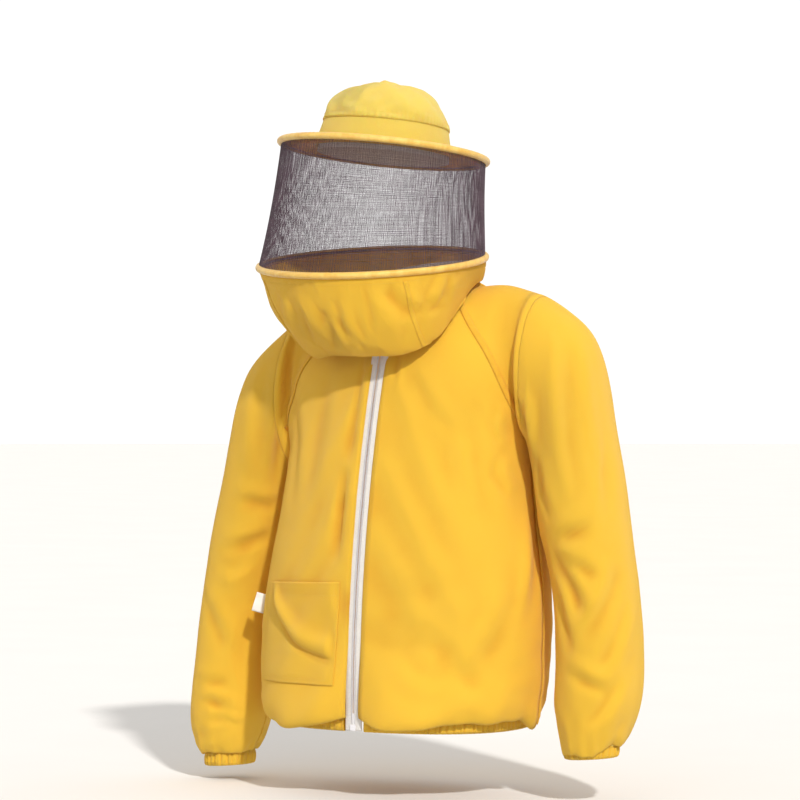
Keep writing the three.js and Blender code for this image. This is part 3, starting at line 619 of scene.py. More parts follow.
def settle(points, faces, held, inset, frames, slack_share):
    """Lets slack cloth settle under gravity over a body a little inside it; gives the moved points."""
    mesh = bpy.data.meshes.new("slack")
    mesh.from_pydata(points.tolist(), [], faces.tolist())
    slack = bpy.data.objects.new("slack", mesh)
    normals = vertex_normals(points, faces)
    pieces = [slack]
    if inset is not None:
        inner_mesh = bpy.data.meshes.new("inner")
        inner_mesh.from_pydata((points - normals * inset).tolist(), [], faces.tolist())
        pieces.append(bpy.data.objects.new("inner", inner_mesh))
    for piece in pieces:
        scene.collection.objects.link(piece)
    if inset is not None:
        pieces[1].modifiers.new("solid", "COLLISION")
        pieces[1].collision.thickness_outer = 0.002
    group = slack.vertex_groups.new(name="held")
    for weight in np.unique(held[held > 0]):
        group.add(np.flatnonzero(held == weight).tolist(), float(weight), "REPLACE")
    cloth = slack.modifiers.new("cloth", "CLOTH")
    settings = cloth.settings
    settings.vertex_group_mass = "held"
    settings.quality = 4
    settings.mass = 0.2
    settings.tension_stiffness = 12
    settings.compression_stiffness = 12
    settings.shear_stiffness = 4
    settings.bending_stiffness = 0.35
    settings.air_damping = 2.0
    settings.shrink_min = -slack_share
    cloth.collision_settings.distance_min = 0.002
    cloth.collision_settings.collision_quality = 2
    for number in range(1, frames + 1):
        scene.frame_set(number)
    settled = slack.evaluated_get(bpy.context.evaluated_depsgraph_get()).data
    result = np.empty(len(points) * 3)
    settled.vertices.foreach_get("co", result)
    scene.frame_set(1)
    for piece in pieces:
        bpy.data.objects.remove(piece)
    return result.reshape(-1, 3)


def limited(moved, reach):
    """Moves shortened smoothly so that none is longer than reach."""
    far = np.linalg.norm(moved, axis=1, keepdims=True)
    return moved * (reach * np.tanh(far / reach) / np.maximum(far, 1e-9))


shaped = shaped + limited(settle(shaped, skin_faces, held, 0.012, 18, 0.008) - shaped, 0.0028)

# The hem and the cuffs are narrower than the cloth that they gather, so it blouses over them and rolls
# under, least at the front zip and at the sides.
over_hem = through((0, 0), (0.0098, -0.027), (0.0196, -0.041), (0.0294, -0.0405), (0.039, -0.034),
                   (0.049, -0.0265), (0.059, -0.019), (0.069, -0.0125), (0.08, -0.007), (0.10, 0))
out_hem = through((0, 0), (0.0098, 0.007), (0.0196, 0.015), (0.0294, 0.019), (0.039, 0.0185), (0.049, 0.016),
                  (0.064, 0.012), (0.08, 0.007), (0.11, 0))
around_hem = skin_points * (1, 1, 0)
uneven_roll = 0.15 * unevenness(around_hem, 0.15, 31) + 0.08 * unevenness(around_hem, 0.055, 32)
zip_gap = np.abs(x - lean * z) + np.where(y > side_y, 1.0, 0.0)
by_zip = 0.62 + 0.38 * smooth(zip_gap, 0.012, 0.045)
by_side = 1 - 0.38 * smooth(np.abs(np.sin(body_turn)), 0.55, 1.0)
roll = by_side * (1 + uneven_roll)
rise = z - hem_z
for name in ("front_left", "front_right", "back"):
    for i in np.unique(skin_index[name]):
        if rise[i] < 0.11:
            away = np.array((skin_normals[i][0], skin_normals[i][1], 0))
            by = away * out_hem(rise[i]) * roll[i] * by_side[i] ** 1.5 * by_zip[i] ** 3
            shaped[i] += by + np.array((lean, 0, 1)) * over_hem(rise[i]) * roll[i] * by_zip[i]
over_cuff = through((0, 0), (1, -0.75), (2, -1.0), (3, -0.92), (4, -0.7), (5, -0.45), (6, -0.25), (8, 0))
out_cuff = through((0, 0), (1, 0.5), (2, 1.0), (3, 1.05), (4, 0.85), (5, 0.6), (6, 0.35), (8, 0))
for name, drop, swell in (("left_sleeve", 0.024, -0.001), ("right_sleeve", 0.013, 0.003)):
    index = skin_index[name]
    for row in range(1, 9):
        for i in np.unique(index[-1 - row]):
            loose = 1 + 0.35 * uneven_roll[i] / 0.12
            away = np.array((skin_normals[i][0], skin_normals[i][1], 0))
            shaped[i] += away * out_cuff(row) * swell * loose + (0, 0, over_cuff(row) * drop * loose)

# ---- Jacket cloth: panels ---------------------------------------------------------------------
# The settled skin is smoothed once and cut at its seams into the panels, each a thin sheet of drill.
skin_mesh = bpy.data.meshes.new("skin")
skin_mesh.from_pydata(shaped.tolist(), [], skin_faces.tolist())
skin_mesh.uv_layers.new(name="cloth").data.foreach_set("uv", np.array(skin_uvs).ravel())
for _ in panel_grids:
    skin_mesh.materials.append(drill)
skin_mesh.polygons.foreach_set("material_index", skin_panels)
skin = bpy.data.objects.new("skin", skin_mesh)
scene.collection.objects.link(skin)
rounding = skin.modifiers.new("rounding", "SUBSURF")
rounding.levels = 1
rounding.uv_smooth = "PRESERVE_BOUNDARIES"
bpy.context.view_layer.update()
fine = skin.evaluated_get(bpy.context.evaluated_depsgraph_get()).to_mesh()


def mesh_arrays(mesh):
    """Points, four-sided faces, corner uvs and material numbers of a mesh."""
    points = np.empty(len(mesh.vertices) * 3)
    mesh.vertices.foreach_get("co", points)
    faces = np.empty(len(mesh.loops), int)
    mesh.loops.foreach_get("vertex_index", faces)
    uvs = np.empty(len(mesh.loops) * 2)
    mesh.uv_layers["cloth"].data.foreach_get("uv", uvs)
    numbers = np.empty(len(mesh.polygons), int)
    mesh.polygons.foreach_get("material_index", numbers)
    return points.reshape(-1, 3), faces.reshape(-1, 4), uvs.reshape(-1, 4, 2), numbers


fine_points, fine_faces, fine_uvs, fine_panels = mesh_arrays(fine)
fine_normals = vertex_normals(fine_points, fine_faces)
bpy.data.objects.remove(skin)
body_folds = [
    ([(-.033, -.116, -.09), (-.036, -.13, -.15), (-.040, -.138, -.20), (-.044, -.142, -.262)],
     0.0075, -0.0105),
    ([(-.047, -.143, -.262), (-.054, -.152, -.34), (-.060, -.154, -.41)], 0.0078, -0.0115),
    ([(.026, -.112, -.09), (.024, -.122, -.15)], 0.005, -0.0035),
    ([(.052, -.118, -.12), (.085, -.122, -.175), (.12, -.115, -.215)], 0.011, -0.0028),
    ([(.13, -.11, -.17), (.115, -.12, -.24), (.12, -.122, -.32)], 0.018, -0.0026),
    ([(.150, -.095, -.155), (.148, -.1, -.22), (.16, -.095, -.30), (.18, -.08, -.36)], 0.015, -0.0040),
    ([(.187, -.075, -.17), (.180, -.078, -.205), (.190, -.07, -.235)], 0.0088, -0.0070),
    ([(.185, -.072, -.245), (.178, -.078, -.275), (.196, -.06, -.31)], 0.0100, -0.0080),
    ([(.208, -.02, -.33), (.209, -.04, -.43), (.215, -.055, -.50)], 0.013, 0.0065),
    ([(.19, -.075, -.44), (.165, -.105, -.52), (.12, -.125, -.585)], 0.017, 0.005),
    ([(.07, -.15, -.50), (.12, -.135, -.56), (.16, -.11, -.60)], 0.018, -0.0034),
    ([(.02, -.15, -.46), (.09, -.145, -.455), (.15, -.12, -.43)], 0.020, -0.0022),
    ([(.03, -.15, -.55), (.07, -.15, -.59), (.12, -.13, -.61)], 0.014, 0.0035),
    ([(-.103, -.105, -.1), (-.112, -.116, -.191), (-.12, -.124, -.33)], 0.018, -0.0035),
    ([(-.19, -.07, -.14), (-.17, -.10, -.23), (-.165, -.112, -.33)], 0.014, -0.0042),
    ([(-.07, -.145, -.43), (-.055, -.15, -.50), (-.052, -.153, -.56)], 0.010, 0.0045),
    ([(.25, -.04, -.375), (.285, -.055, -.366), (.325, -.045, -.352)], 0.0110, -0.0075),
    ([(.25, -.04, -.385), (.29, -.055, -.41), (.34, -.045, -.43)], 0.0105, -0.0060),
    ([(.252, -.045, -.40), (.285, -.055, -.438), (.31, -.05, -.485)], 0.0110, -0.0080),
    ([(.255, -.03, -.43), (.268, -.045, -.49), (.29, -.05, -.545)], 0.0105, -0.0060),
    ([(.35, -.03, -.40), (.333, -.045, -.45), (.298, -.052, -.51)], 0.012, 0.0060),
    ([(.375, -.0, -.46), (.36, -.03, -.52), (.33, -.045, -.57)], 0.011, -0.0060),
    ([(.225, -.055, -.12), (.232, -.06, -.17), (.226, -.055, -.235)], 0.0095, 0.0075),
    ([(.213, -.055, -.15), (.217, -.055, -.20), (.212, -.05, -.25)], 0.0090, -0.0080),
    ([(.235, -.055, -.25), (.243, -.05, -.30), (.265, -.045, -.345)], 0.010, -0.0075),
    ([(.29, -.045, -.07), (.305, -.055, -.16), (.335, -.045, -.26)], 0.012, -0.0055),
    ([(.262, -.055, -.05), (.266, -.065, -.14), (.275, -.065, -.24), (.29, -.06, -.32)], 0.012, 0.0062),
    ([(.35, -.02, -.20), (.345, -.035, -.28), (.325, -.045, -.34)], 0.012, 0.0050),
    ([(.277, -.035, -.56), (.31, -.045, -.585), (.345, -.035, -.60)], 0.0105, -0.0062),
    ([(.36, -.025, -.58), (.335, -.04, -.625), (.31, -.045, -.655)], 0.010, -0.0055),
    ([(-.206, -.046, -.06), (-.212, -.052, -.13), (-.222, -.053, -.20), (-.238, -.04, -.30)],
     0.0100, -0.0085),
    ([(-.305, -.055, -.314), (-.272, -.055, -.323), (-.242, -.03, -.333)], 0.0095, -0.0075),
    ([(-.33, -.05, -.40), (-.285, -.055, -.392), (-.25, -.03, -.376)], 0.0105, -0.0075),
    ([(-.345, -.04, -.43), (-.31, -.055, -.45), (-.262, -.045, -.42)], 0.010, 0.0045),
    ([(-.255, -.055, -.10), (-.268, -.064, -.18), (-.272, -.062, -.28)], 0.013, 0.0050),
    ([(-.37, -.02, -.46), (-.355, -.04, -.50), (-.33, -.05, -.565)], 0.012, -0.0055),
    ([(-.30, -.05, -.50), (-.31, -.055, -.56), (-.295, -.05, -.62)], 0.013, 0.0050),
    ([(-.375, -.03, -.635), (-.345, -.05, -.65), (-.30, -.05, -.655)], 0.0095, -0.0068),
    ([(-.36, -.04, -.675), (-.33, -.055, -.67), (-.285, -.045, -.68)], 0.0090, -0.0058),
    ([(-.38, -.02, -.60), (-.355, -.045, -.615), (-.325, -.05, -.612)], 0.0098, -0.0050),
    ([(-.06, .125, -.1), (-.1, .13, -.25), (-.15, .11, -.36)], 0.016, -0.0060),
    ([(.06, .125, -.1), (.1, .13, -.25), (.13, .11, -.36)], 0.016, -0.0060),
    ([(-.17, .09, -.3), (-.12, .135, -.42), (-.14, .12, -.55)], 0.018, 0.0060),
    ([(.14, .09, -.3), (.1, .135, -.42), (.11, .12, -.55)], 0.018, 0.0060),
    ([(.0, .13, -.15), (.01, .14, -.35), (-.02, .14, -.5)], 0.020, 0.0045),
    ([(.3, .075, -.15), (.31, .09, -.28), (.29, .09, -.4)], 0.014, -0.0070),
    ([(-.3, .075, -.2), (-.33, .09, -.32), (-.32, .09, -.45)], 0.014, -0.0070),
    ([(.29, .085, -.42), (.33, .075, -.5), (.34, .07, -.58)], 0.014, 0.0065),
    ([(-.31, .085, -.48), (-.36, .075, -.55), (-.37, .07, -.62)], 0.014, 0.0065),
]
fine_height = np.zeros(len(fine_points))
for path, width, size in body_folds:
    fine_height += fold(fine_points, fine_normals, path, width, size)
pinned_rows = [skin_index[name][-1] for name in panel_grids]
pinned_rows += [skin_index[name][0] for name in ("front_left", "front_right", "back")]
pinned_rows += [skin_index[name][:, 0] for name in ("front_left", "front_right")]
spots = np.unique(np.concatenate(pinned_rows))
pinned_spots = KDTree(len(spots))
for spot in spots:
    pinned_spots.insert(fine_points[spot], int(spot))
pinned_spots.balance()
pinned = smooth(np.array([pinned_spots.find(p)[2] for p in fine_points]), 0.001, 0.018)
fine_points = fine_points + fine_normals * (fine_height * pinned)[:, None]
fine_normals = vertex_normals(fine_points, fine_faces)


# The cloth's colour uses this as a mask: painted shade where it dips, painted light where it stands proud.
def hollows(points, faces, rounds=6):
    """How far each point lies below the smoothed surface round it, as a share of about 3 mm."""
    edges = np.concatenate([faces[:, [0, 1]], faces[:, [1, 2]], faces[:, [2, 3]], faces[:, [3, 0]]])
    count = np.bincount(edges.ravel(), minlength=len(points))[:, None]
    smoothed = points.copy()
    for _ in range(rounds):
        total = np.zeros_like(points)
        np.add.at(total, edges[:, 0], smoothed[edges[:, 1]])
        np.add.at(total, edges[:, 1], smoothed[edges[:, 0]])
        smoothed = total / np.maximum(count, 1)
    below = np.einsum("ij,ij->i", smoothed - points, vertex_normals(points, faces))
    for _ in range(3):
        total = below.copy()
        np.add.at(total, edges[:, 0], below[edges[:, 1]])
        np.add.at(total, edges[:, 1], below[edges[:, 0]])
        below = total / (count[:, 0] + 1)
    return np.clip(below / 0.0026, -0.6, 1.0)


def sheet_mesh(name, points, faces, uvs, looks, thickness, hollow_shade=None):
    """A closed sheet: the faces, and the same faces a thickness inside them."""
    used, inverse = np.unique(faces, return_inverse=True)
    mesh = bpy.data.meshes.new(name)
    mesh.from_pydata(points[used].tolist(), [], inverse.reshape(faces.shape).tolist())
    mesh.uv_layers.new(name="cloth").data.foreach_set("uv", uvs.reshape(-1))
    # The depth of each dip is kept on the mesh for the cloth's painted shade and painted light.
    hollow_shade = hollows(points, faces)[used] if hollow_shade is None else hollow_shade[used]
    mesh.attributes.new("hollow_shade", "FLOAT", "POINT").data.foreach_set("value", hollow_shade)
    piece = add_piece(name, mesh, looks)
    wall = piece.modifiers.new("wall", "SOLIDIFY")
    wall.thickness = thickness
    wall.offset = -1
    bpy.context.view_layer.update()
    solid = bpy.data.meshes.new_from_object(piece.evaluated_get(bpy.context.evaluated_depsgraph_get()))
    piece.modifiers.clear()
    piece.data = solid
    return piece


# The skin's dips, for its painted shade.
skin_shade_mask = hollows(fine_points, fine_faces)
panel_nodes = {
    "front_left": ("front_left_panel", (0.30, 0.74), 0.178, "collar_stand", "jacket"),
    "front_right": ("front_right_panel", (0.30, 0.74), 0.178, "collar_stand", "jacket"),
    "back": ("back_panel", (0.62, 0.74), 0.362, "collar_stand", "jacket"),
    "left_shoulder": ("left_raglan_shoulder", (0.30, 0.24), 0.043, "collar_stand", "left_arm"),
    "right_shoulder": ("right_raglan_shoulder", (0.30, 0.24), 0.043, "collar_stand", "right_arm"),
    "left_sleeve": ("left_sleeve", (0.50, 0.72), 0.272, "left_raglan_shoulder", "left_arm"),
    "right_sleeve": ("right_sleeve", (0.50, 0.72), 0.272, "right_raglan_shoulder", "right_arm"),
}
armholes = {"left_arm": ((0.8, 0, -0.6), 0.289), "right_arm": ((-0.8, 0, -0.6), 0.324)}
armhole_run = 0.11
for number, (name, (node, flat, area, hangs_from, body)) in enumerate(panel_nodes.items()):
    chosen = fine_panels == number
    piece = sheet_mesh(f"{name}_cloth", fine_points, fine_faces[chosen], fine_uvs[chosen], drill,
                       0.0011, skin_shade_mask)
    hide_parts(node)
    if body == "jacket":
        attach(piece, body)
    else:
        way, reach = armholes[body]
        Vector(way) * reach
        Vector(way) * (reach + armhole_run)
        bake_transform(piece)

# ---- Seams and their stitching ----------------------------------------------------------------
# Felled seams: along each raglan, side and underarm seam the cloth is folded over itself into a flat
# strip, sewn down with two rows of pale thread whose stitches stand a little proud.
skin_tree = BVHTree.FromPolygons(fine_points.tolist(), fine_faces.tolist())


def on_skin(p, lift=0.0):
    """The nearest place on the skin, a distance proud of it, and the skin's normal there."""
    place, _, face, _ = skin_tree.find_nearest(Vector(p))
    corners = fine_faces[face]
    smooth_normal = Vector(fine_normals[corners].mean(axis=0)).normalized()
    return np.array(place + smooth_normal * lift), np.array(smooth_normal)


def stitches(name, path, normals, looks, length=0.0024, gap=0.0012, width=0.0006, rise=0.0005, seed=1):
    """A row of stitches along a path on a surface: each a small rounded bar with its ends in the cloth."""
    dice = np.random.default_rng(seed)
    lengths = np.concatenate([[0], np.cumsum(np.linalg.norm(np.diff(path, axis=0), axis=1))])
    count = int(lengths[-1] / (length + gap))
    points, faces = [], []
    at = lambda rows, s: np.array([np.interp(s, lengths, rows[:, k]) for k in range(3)])
    profile = [(0, 0.35), (0.25, 1), (0.75, 1), (1, 0.35)]
    for number in range(count):
        start = (number + 0.5) * lengths[-1] / count - length / 2
        sway = dice.normal(0, 0.00008)
        first = len(points)
        for share, full in profile:
            p, out = at(path, start + share * length), at(normals, start + share * length)
            way = at(path, start + share * length + 2e-4) - at(path, start + share * length - 2e-4)
            side = np.cross(out, way)
            side /= max(np.linalg.norm(side), 1e-9)
            for a in range(6):
                turn = math.tau * a / 6
                off = side * (math.cos(turn) * width / 2 * full + sway) + out * (
                    math.sin(turn) * width / 2 * full + (rise - width) * full)
                points.append(p + off)
        for k in range(3):
            for a in range(6):
                b = (a + 1) % 6
                ring = first + k * 6
                faces.append([ring + a, ring + b, ring + 6 + b, ring + 6 + a])
        faces.append([first + a for a in range(5, -1, -1)])
        faces.append([first + 18 + a for a in range(6)])
    mesh = bpy.data.meshes.new(name)
    mesh.from_pydata([list(p) for p in points], [], faces)
    mesh.uv_layers.new(name="cloth")
    return add_piece(name, mesh, looks)


def grid_sheet(name, grid, looks, thickness, wrap=False, flip=False, hollow_rounds=6):
    """A sheet over a grid of points, its rows closed into rings if wrap is set."""
    rows, columns = grid.shape[:2]
    across = np.cumsum(np.linalg.norm(np.diff(grid, axis=1, prepend=grid[:, :1]), axis=2), axis=1)
    along = np.cumsum(np.linalg.norm(np.diff(grid, axis=0, prepend=grid[:1]), axis=2), axis=0)
    along = np.repeat(along.mean(axis=1, keepdims=True), columns, axis=1)
    last = columns if wrap else columns - 1
    faces, uvs = [], []
    for i in range(rows - 1):
        for j in range(last):
            k = (j + 1) % columns
            corners = [(i, j), (i, k), (i + 1, k), (i + 1, j)]
            ends = [(across[c] if c[1] or not (wrap and j == columns - 1) else across[c[0], -1] + 0.002,
                     along[c]) for c in corners]
            if flip:
                corners, ends = corners[::-1], ends[::-1]
            faces.append([a * columns + b for a, b in corners])
            uvs.append(ends)
    points = grid.reshape(-1, 3)
    faces = np.array(faces)
    # The sheet's dips, for its painted shade.
    hollow_shade = hollows(points, faces, hollow_rounds)
    return sheet_mesh(name, points, faces, np.array(uvs), looks, thickness, hollow_shade)


def bend_with(piece, body):
    """A piece attached to the jacket, or, on an arm, kept where it is with its transform baked."""
    if body in armholes:
        way, reach = armholes[body]
        Vector(way) * reach
        Vector(way) * (reach + armhole_run)
        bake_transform(piece)
    else:
        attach(piece, body)


def felled_seam(name, path, side_way, body, width=0.0085, on=on_skin):
    """A folded strip beside a seam with a row of stitches near each of its edges."""
    path = even(path, 0.003)
    line = [on(p) for p in path]
    ways = np.gradient(np.array([p for p, _ in line]), axis=0)
    ways /= np.maximum(np.linalg.norm(ways, axis=1, keepdims=True), 1e-9)
    sides = np.cross(np.array([n for _, n in line]), ways)
    sides /= np.maximum(np.linalg.norm(sides, axis=1, keepdims=True), 1e-9)
    if sides[len(sides) // 2].dot(side_way) < 0:
        sides = -sides
    shares = (0, 0.06, 0.2, 0.5, 0.8, 0.94, 1)
    lifts = (0.0002, 0.0010, 0.0013, 0.0014, 0.0013, 0.0010, 0.0002)
    rows, outs = [], []
    for i, (p, _) in enumerate(line):
        pucker = 0.00022 * math.sin(i * 1.9) + 0.00018 * math.sin(i * 0.83 + 1)
        row = [on(p + sides[i] * width * (s - 0.1), lift + pucker * (0 < s < 1))
               for s, lift in zip(shares, lifts)]
        rows.append([q for q, _ in row])
        outs.append([n for _, n in row])
    rows, outs = np.array(rows), np.array(outs)
    facing = np.cross(rows[1, 3] - rows[0, 3], rows[0, 4] - rows[0, 3]).dot(outs[0, 3])
    strip = grid_sheet(f"{name}_seam", rows, drill, 0.0009, flip=facing > 0)
    bend_with(strip, body)
    for k, column in enumerate((1, 5)):
        thread_row = stitches(f"{name}_stitches_{k}", rows[:, column], outs[:, column], thread_cotton, seed=k)
        bend_with(thread_row, body)
    return strip


for word, hand in (("left", 1), ("right", -1)):
    shoulder = skin_index[f"{word}_shoulder"]
    sleeve = skin_index[f"{word}_sleeve"]
    front = skin_index[f"front_{word}"]
    inwards = np.array((-hand, 0, 0))
    arm = f"{word}_arm"
    felled_seam(f"{word}_raglan_front", fine_points[shoulder[3:, 0]], -inwards, arm)
    felled_seam(f"{word}_raglan_back", fine_points[shoulder[3:, -1]], -inwards, arm)
    felled_seam(f"{word}_side", fine_points[front[3:low_rows + 1, -1]], np.array((0, 1, 0)), "jacket")
    felled_seam(f"{word}_underarm", fine_points[sleeve[:-3, 0]], np.array((0, 1, 0)), arm)

# ---- Front edges ------------------------------------------------------------------------------
# Each front is turned back beside the zip and topstitched about 6 mm from its edge, through the tape.
for word, hand in (("left", 1), ("right", -1)):
    edge = even(fine_points[skin_index[f"front_{word}"][3:, 0]], 0.003)
    for k, inset in enumerate((0.0016, 0.0075)):
        row = [on_skin(p + np.array((hand * inset, 0, 0)), 0.0001) for p in edge[3:-2]]
        line = stitches(f"front_{word}_topstitch_{k}", np.array([p for p, _ in row]),
                        np.array([n for _, n in row]), thread_cotton, seed=k + 5)
        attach(line, "jacket")

# ---- Hem and cuffs ----------------------------------------------------------------------------
# A folded casing of drill, gathered into fine upright puckers by the elastic that runs inside it, with
# a row of stitches below its top edge.
band_height = 0.024
hem_inset = 0.003


def hem_place(angle, out, up):
    c, s = math.cos(angle), math.sin(angle)
    depth = -front_depth(hem_z) if c > 0 else back_depth(hem_z)
    half = depth + math.copysign(side_y, c) - hem_inset + out
    across = (hem_half_width - hem_inset + out) * math.copysign(abs(s) ** (2 / roundness), s)
    ahead = half * math.copysign(abs(c) ** (2 / roundness), c)
    return stance((across, side_y - ahead, hem_z - 0.0003 + up), 0)


def cuff_place(hand):
    def place(angle, out, up):
        centre = hand * (cuff_inner_x + cuff_half_width)
        x = centre + (cuff_half_width - 0.001 + out) * math.sin(angle)
        y = cuff_y - (cuff_half_width - 0.003 + out) * math.cos(angle)
        return stance((x, y, cuff_z - 0.0003 + up))

    return place


def gathered_band(name, place, start, stop, columns, waves, body, seed):
    """A puckered casing along a closed or open path, with stitches near its top."""
    dice = np.random.default_rng(seed)
    closed = stop - start > math.tau - 1e-6
    angles = np.linspace(start, stop, columns, endpoint=not closed)
    phase = dice.uniform(0, 6, 4)
    pucker = (np.sin(angles * waves + phase[0] + 1.4 * np.sin(angles * waves / 7 + phase[1]))
              + 0.6 * np.sin(angles * waves * 1.63 + phase[2]))
    heights = [0.001, -0.002, -0.005, -0.009, -0.013, -0.017, -0.0205, -0.023, -0.0238]
    outs = [-0.0012, 0.0002, 0.0007, 0.0010, 0.0011, 0.0009, 0.0004, -0.0008, -0.0026]
    depths = [0.35, 0.25, 0.6, 1, 1, 1, 0.9, 0.7, 0.3]
    rows = []
    for up, out, full in zip(heights, outs, depths):
        rows.append([place(a, out + 0.00125 * full * p, up) for a, p in zip(angles, pucker)])
    for up, out in ((-0.0235, -0.0045), (-0.021, -0.0058), (-0.012, -0.0062), (-0.003, -0.006),
                    (0.0008, -0.005)):
        rows.append([place(a, out, up) for a in angles])
    band = grid_sheet(name, np.array(rows), drill, 0.0009, wrap=closed, flip=True, hollow_rounds=10)
    top = np.array(rows[1])
    out_way = np.array([place(a, 0.01, 0) - place(a, 0, 0) for a in angles])
    out_way /= np.linalg.norm(out_way, axis=1, keepdims=True)
    for k, up in enumerate((-0.0035, -0.0205)):
        share = rows[2] if k == 0 else rows[6]
        line = np.array(share) + out_way * 0.0002
        sewn = stitches(f"{name}_stitches_{k}", line, out_way, thread_cotton, seed=seed + k)
        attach(sewn, body)
    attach(band, body)
    return band


hem_opening = math.asin((zip_half + 0.0003) / hem_half_width) * 1.08
hem_band = gathered_band("hem_casing_cloth", hem_place, hem_opening, math.tau - hem_opening, 720, 118,
                         "jacket", 11)
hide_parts("hem_casing")
for word, hand in (("left", 1), ("right", -1)):
    gathered_band(f"{word}_cuff_cloth", cuff_place(hand), 0, math.tau, 240, 27,
                                     f"{word}_arm", 12 + hand)
    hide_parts(f"{word}_cuff_casing")


def webbing(shade):
    """Ribbed elastic: upright ribs a millimetre apart on a cream ground."""
    place = shade.make("ShaderNodeTexCoord", output=3)
    parts = shade.make("ShaderNodeSeparateXYZ", {0: place})
    ribs = (Shade(shade.tree, parts.socket.node.outputs[2]) * (math.tau / 0.0012)).sine()
    fuzz = shade.noise(place, 600.0)
    tone = (ribs * 0.2 + fuzz).rise(0.1, 0.9)
    return {"Base Color": tone.between((0.7, 0.66, 0.56, 1), (0.86, 0.83, 0.74, 1))}, ribs + fuzz, 0.0002


elastic_webbing = new_material("elastic_webbing", webbing, Roughness=0.75)


def dress(node, looks):
    """Gives a frame part that keeps its shape its finished material."""
    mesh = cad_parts[node].data
    mesh.materials.clear()
    mesh.materials.append(looks)


for node in ("hem_elastic", "left_cuff_elastic", "right_cuff_elastic"):
    dress(node, elastic_webbing)

# ---- Front zip --------------------------------------------------------------------------------
# Two woven white tapes, each with a nylon coil sewn along its edge, meeting at the middle. The coils
# start in a moulded bottom box. The slider and its pull are plated metal.
zip_low = hem_z - band_height
zip_high = neck_place(0, collar_radius)[2]


def tape_weave(shade):
    place = shade.make("ShaderNodeTexCoord", output=3)
    parts = shade.make("ShaderNodeSeparateXYZ", {0: place})
    across = parts
    up = Shade(shade.tree, parts.socket.node.outputs[2])
    zigzag = ((across * (math.tau / 0.0042)).sine() * 1.6 + up * (math.tau / 0.0011)).sine()
    fuzz = shade.noise(place, 500.0)
    tone = (zigzag * 0.14 + fuzz * 0.8).rise(0.0, 0.9)
    return {"Base Color": tone.between((0.74, 0.71, 0.68, 1), (0.93, 0.91, 0.88, 1))}, zigzag + fuzz, 0.00012


def nylon(shade):
    place = shade.make("ShaderNodeTexCoord", output=3)
    cloud = shade.noise(place, 90.0)
    return ({"Base Color": cloud.between((0.78, 0.77, 0.83, 1), (0.92, 0.91, 0.94, 1)),
             "Roughness": cloud * 0.2 + 0.3}, cloud, 0.00003)


tape_white = new_material("woven_zip_tape", tape_weave, Roughness=0.7, Sheen_Weight=0.1)
nylon_white = new_material("nylon_coil", nylon, Subsurface_Weight=0.2,
                           Subsurface_Radius=(0.002, 0.002, 0.002), Subsurface_Scale=1.0)


def zip_place(x, proud, z):
    return stance((x, front_depth(z) - proud, z), float(smooth(z, hem_z, armpit_z)))


def coil(name, axis_at, across_at, out_at, length, looks, phase, pitch=0.0016, half=0.00125, deep=0.00125):
    """A nylon coil: one flattened turn of filament every pitch along its axis."""
    turns = int(length / pitch)
    count, sides = turns * 10, 5
    points = []
    shares = (np.arange(count) + 0.5) / count
    centres = []
    for i, share in enumerate(shares):
        turn = math.tau * i / 10 + phase
        lean_in = 0.15 * pitch / length * math.sin(turn)
        p = axis_at(share + lean_in)
        centres.append(p + across_at(share) * half * math.cos(turn) + out_at(share) * deep * math.sin(turn))
    centres = np.array(centres)
    ways = np.gradient(centres, axis=0)
    ways /= np.linalg.norm(ways, axis=1, keepdims=True)
    outs = np.array([c - axis_at(s) for c, s in zip(centres, shares)])
    sides_way = np.cross(ways, outs)
    sides_way /= np.linalg.norm(sides_way, axis=1, keepdims=True)
    ups = np.cross(sides_way, ways)
    rings = [centres + sides_way * 0.00036 * math.cos(a) + ups * 0.00036 * math.sin(a)
             for a in (math.tau * k / sides for k in range(sides))]
    points = np.stack(rings, axis=1).reshape(-1, 3)
    faces = [[i * sides + k, i * sides + (k + 1) % sides, (i + 1) * sides + (k + 1) % sides,
              (i + 1) * sides + k] for i in range(count - 1) for k in range(sides)]
    faces += [list(range(sides - 1, -1, -1)), [(count - 1) * sides + k for k in range(sides)]]
    mesh = bpy.data.meshes.new(name)
    mesh.from_pydata(points.tolist(), [], faces)
    return add_piece(name, mesh, looks)


for word, hand in (("left", 1), ("right", -1)):
    inner, outer = hand * 0.0024, hand * (zip_half + 0.004)
    shares = np.linspace(0, 1, 9)
    heights = np.linspace(zip_low + 0.001, zip_high - 0.001, 240)
    grid = []
    for k, z in enumerate(heights):
        wave = 0.00025 * math.sin(k * 0.5 + hand) + 0.0002 * math.sin(k * 0.21)
        sunk = [-0.0006 - 0.0008 * s**2 + wave * math.sin(math.pi * s) for s in shares]
        grid.append([zip_place(mix(inner, outer, s), proud, z) for s, proud in zip(shares, sunk)])
    tape = grid_sheet(f"{word}_zip_tape_cloth", np.array(grid), tape_white, 0.0006, flip=hand < 0)
    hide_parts(f"{word}_zip_tape")
    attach(tape, "jacket")
    run = zip_high - zip_low - 0.015
    teeth = coil(f"{word}_zip_coil_turns",
                 lambda s: zip_place(hand * 0.00165, 0.0001, zip_low + 0.012 + s * run),
                 lambda s: np.array((hand, 0, 0)), lambda s: np.array((0, -1, 0)), run, nylon_white,
                 0 if hand > 0 else math.pi)
    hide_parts(f"{word}_zip_coil")
    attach(teeth, "jacket")
    sewn_path = np.array([zip_place(hand * 0.0039, -0.0003, z) for z in heights])
    sewn = stitches(f"{word}_zip_tape_stitches", sewn_path, np.tile((0, -1.0, 0), (len(heights), 1)),
                    tape_white, seed=3)
    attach(sewn, "jacket")
dress("zip_bottom_box", nylon_white)


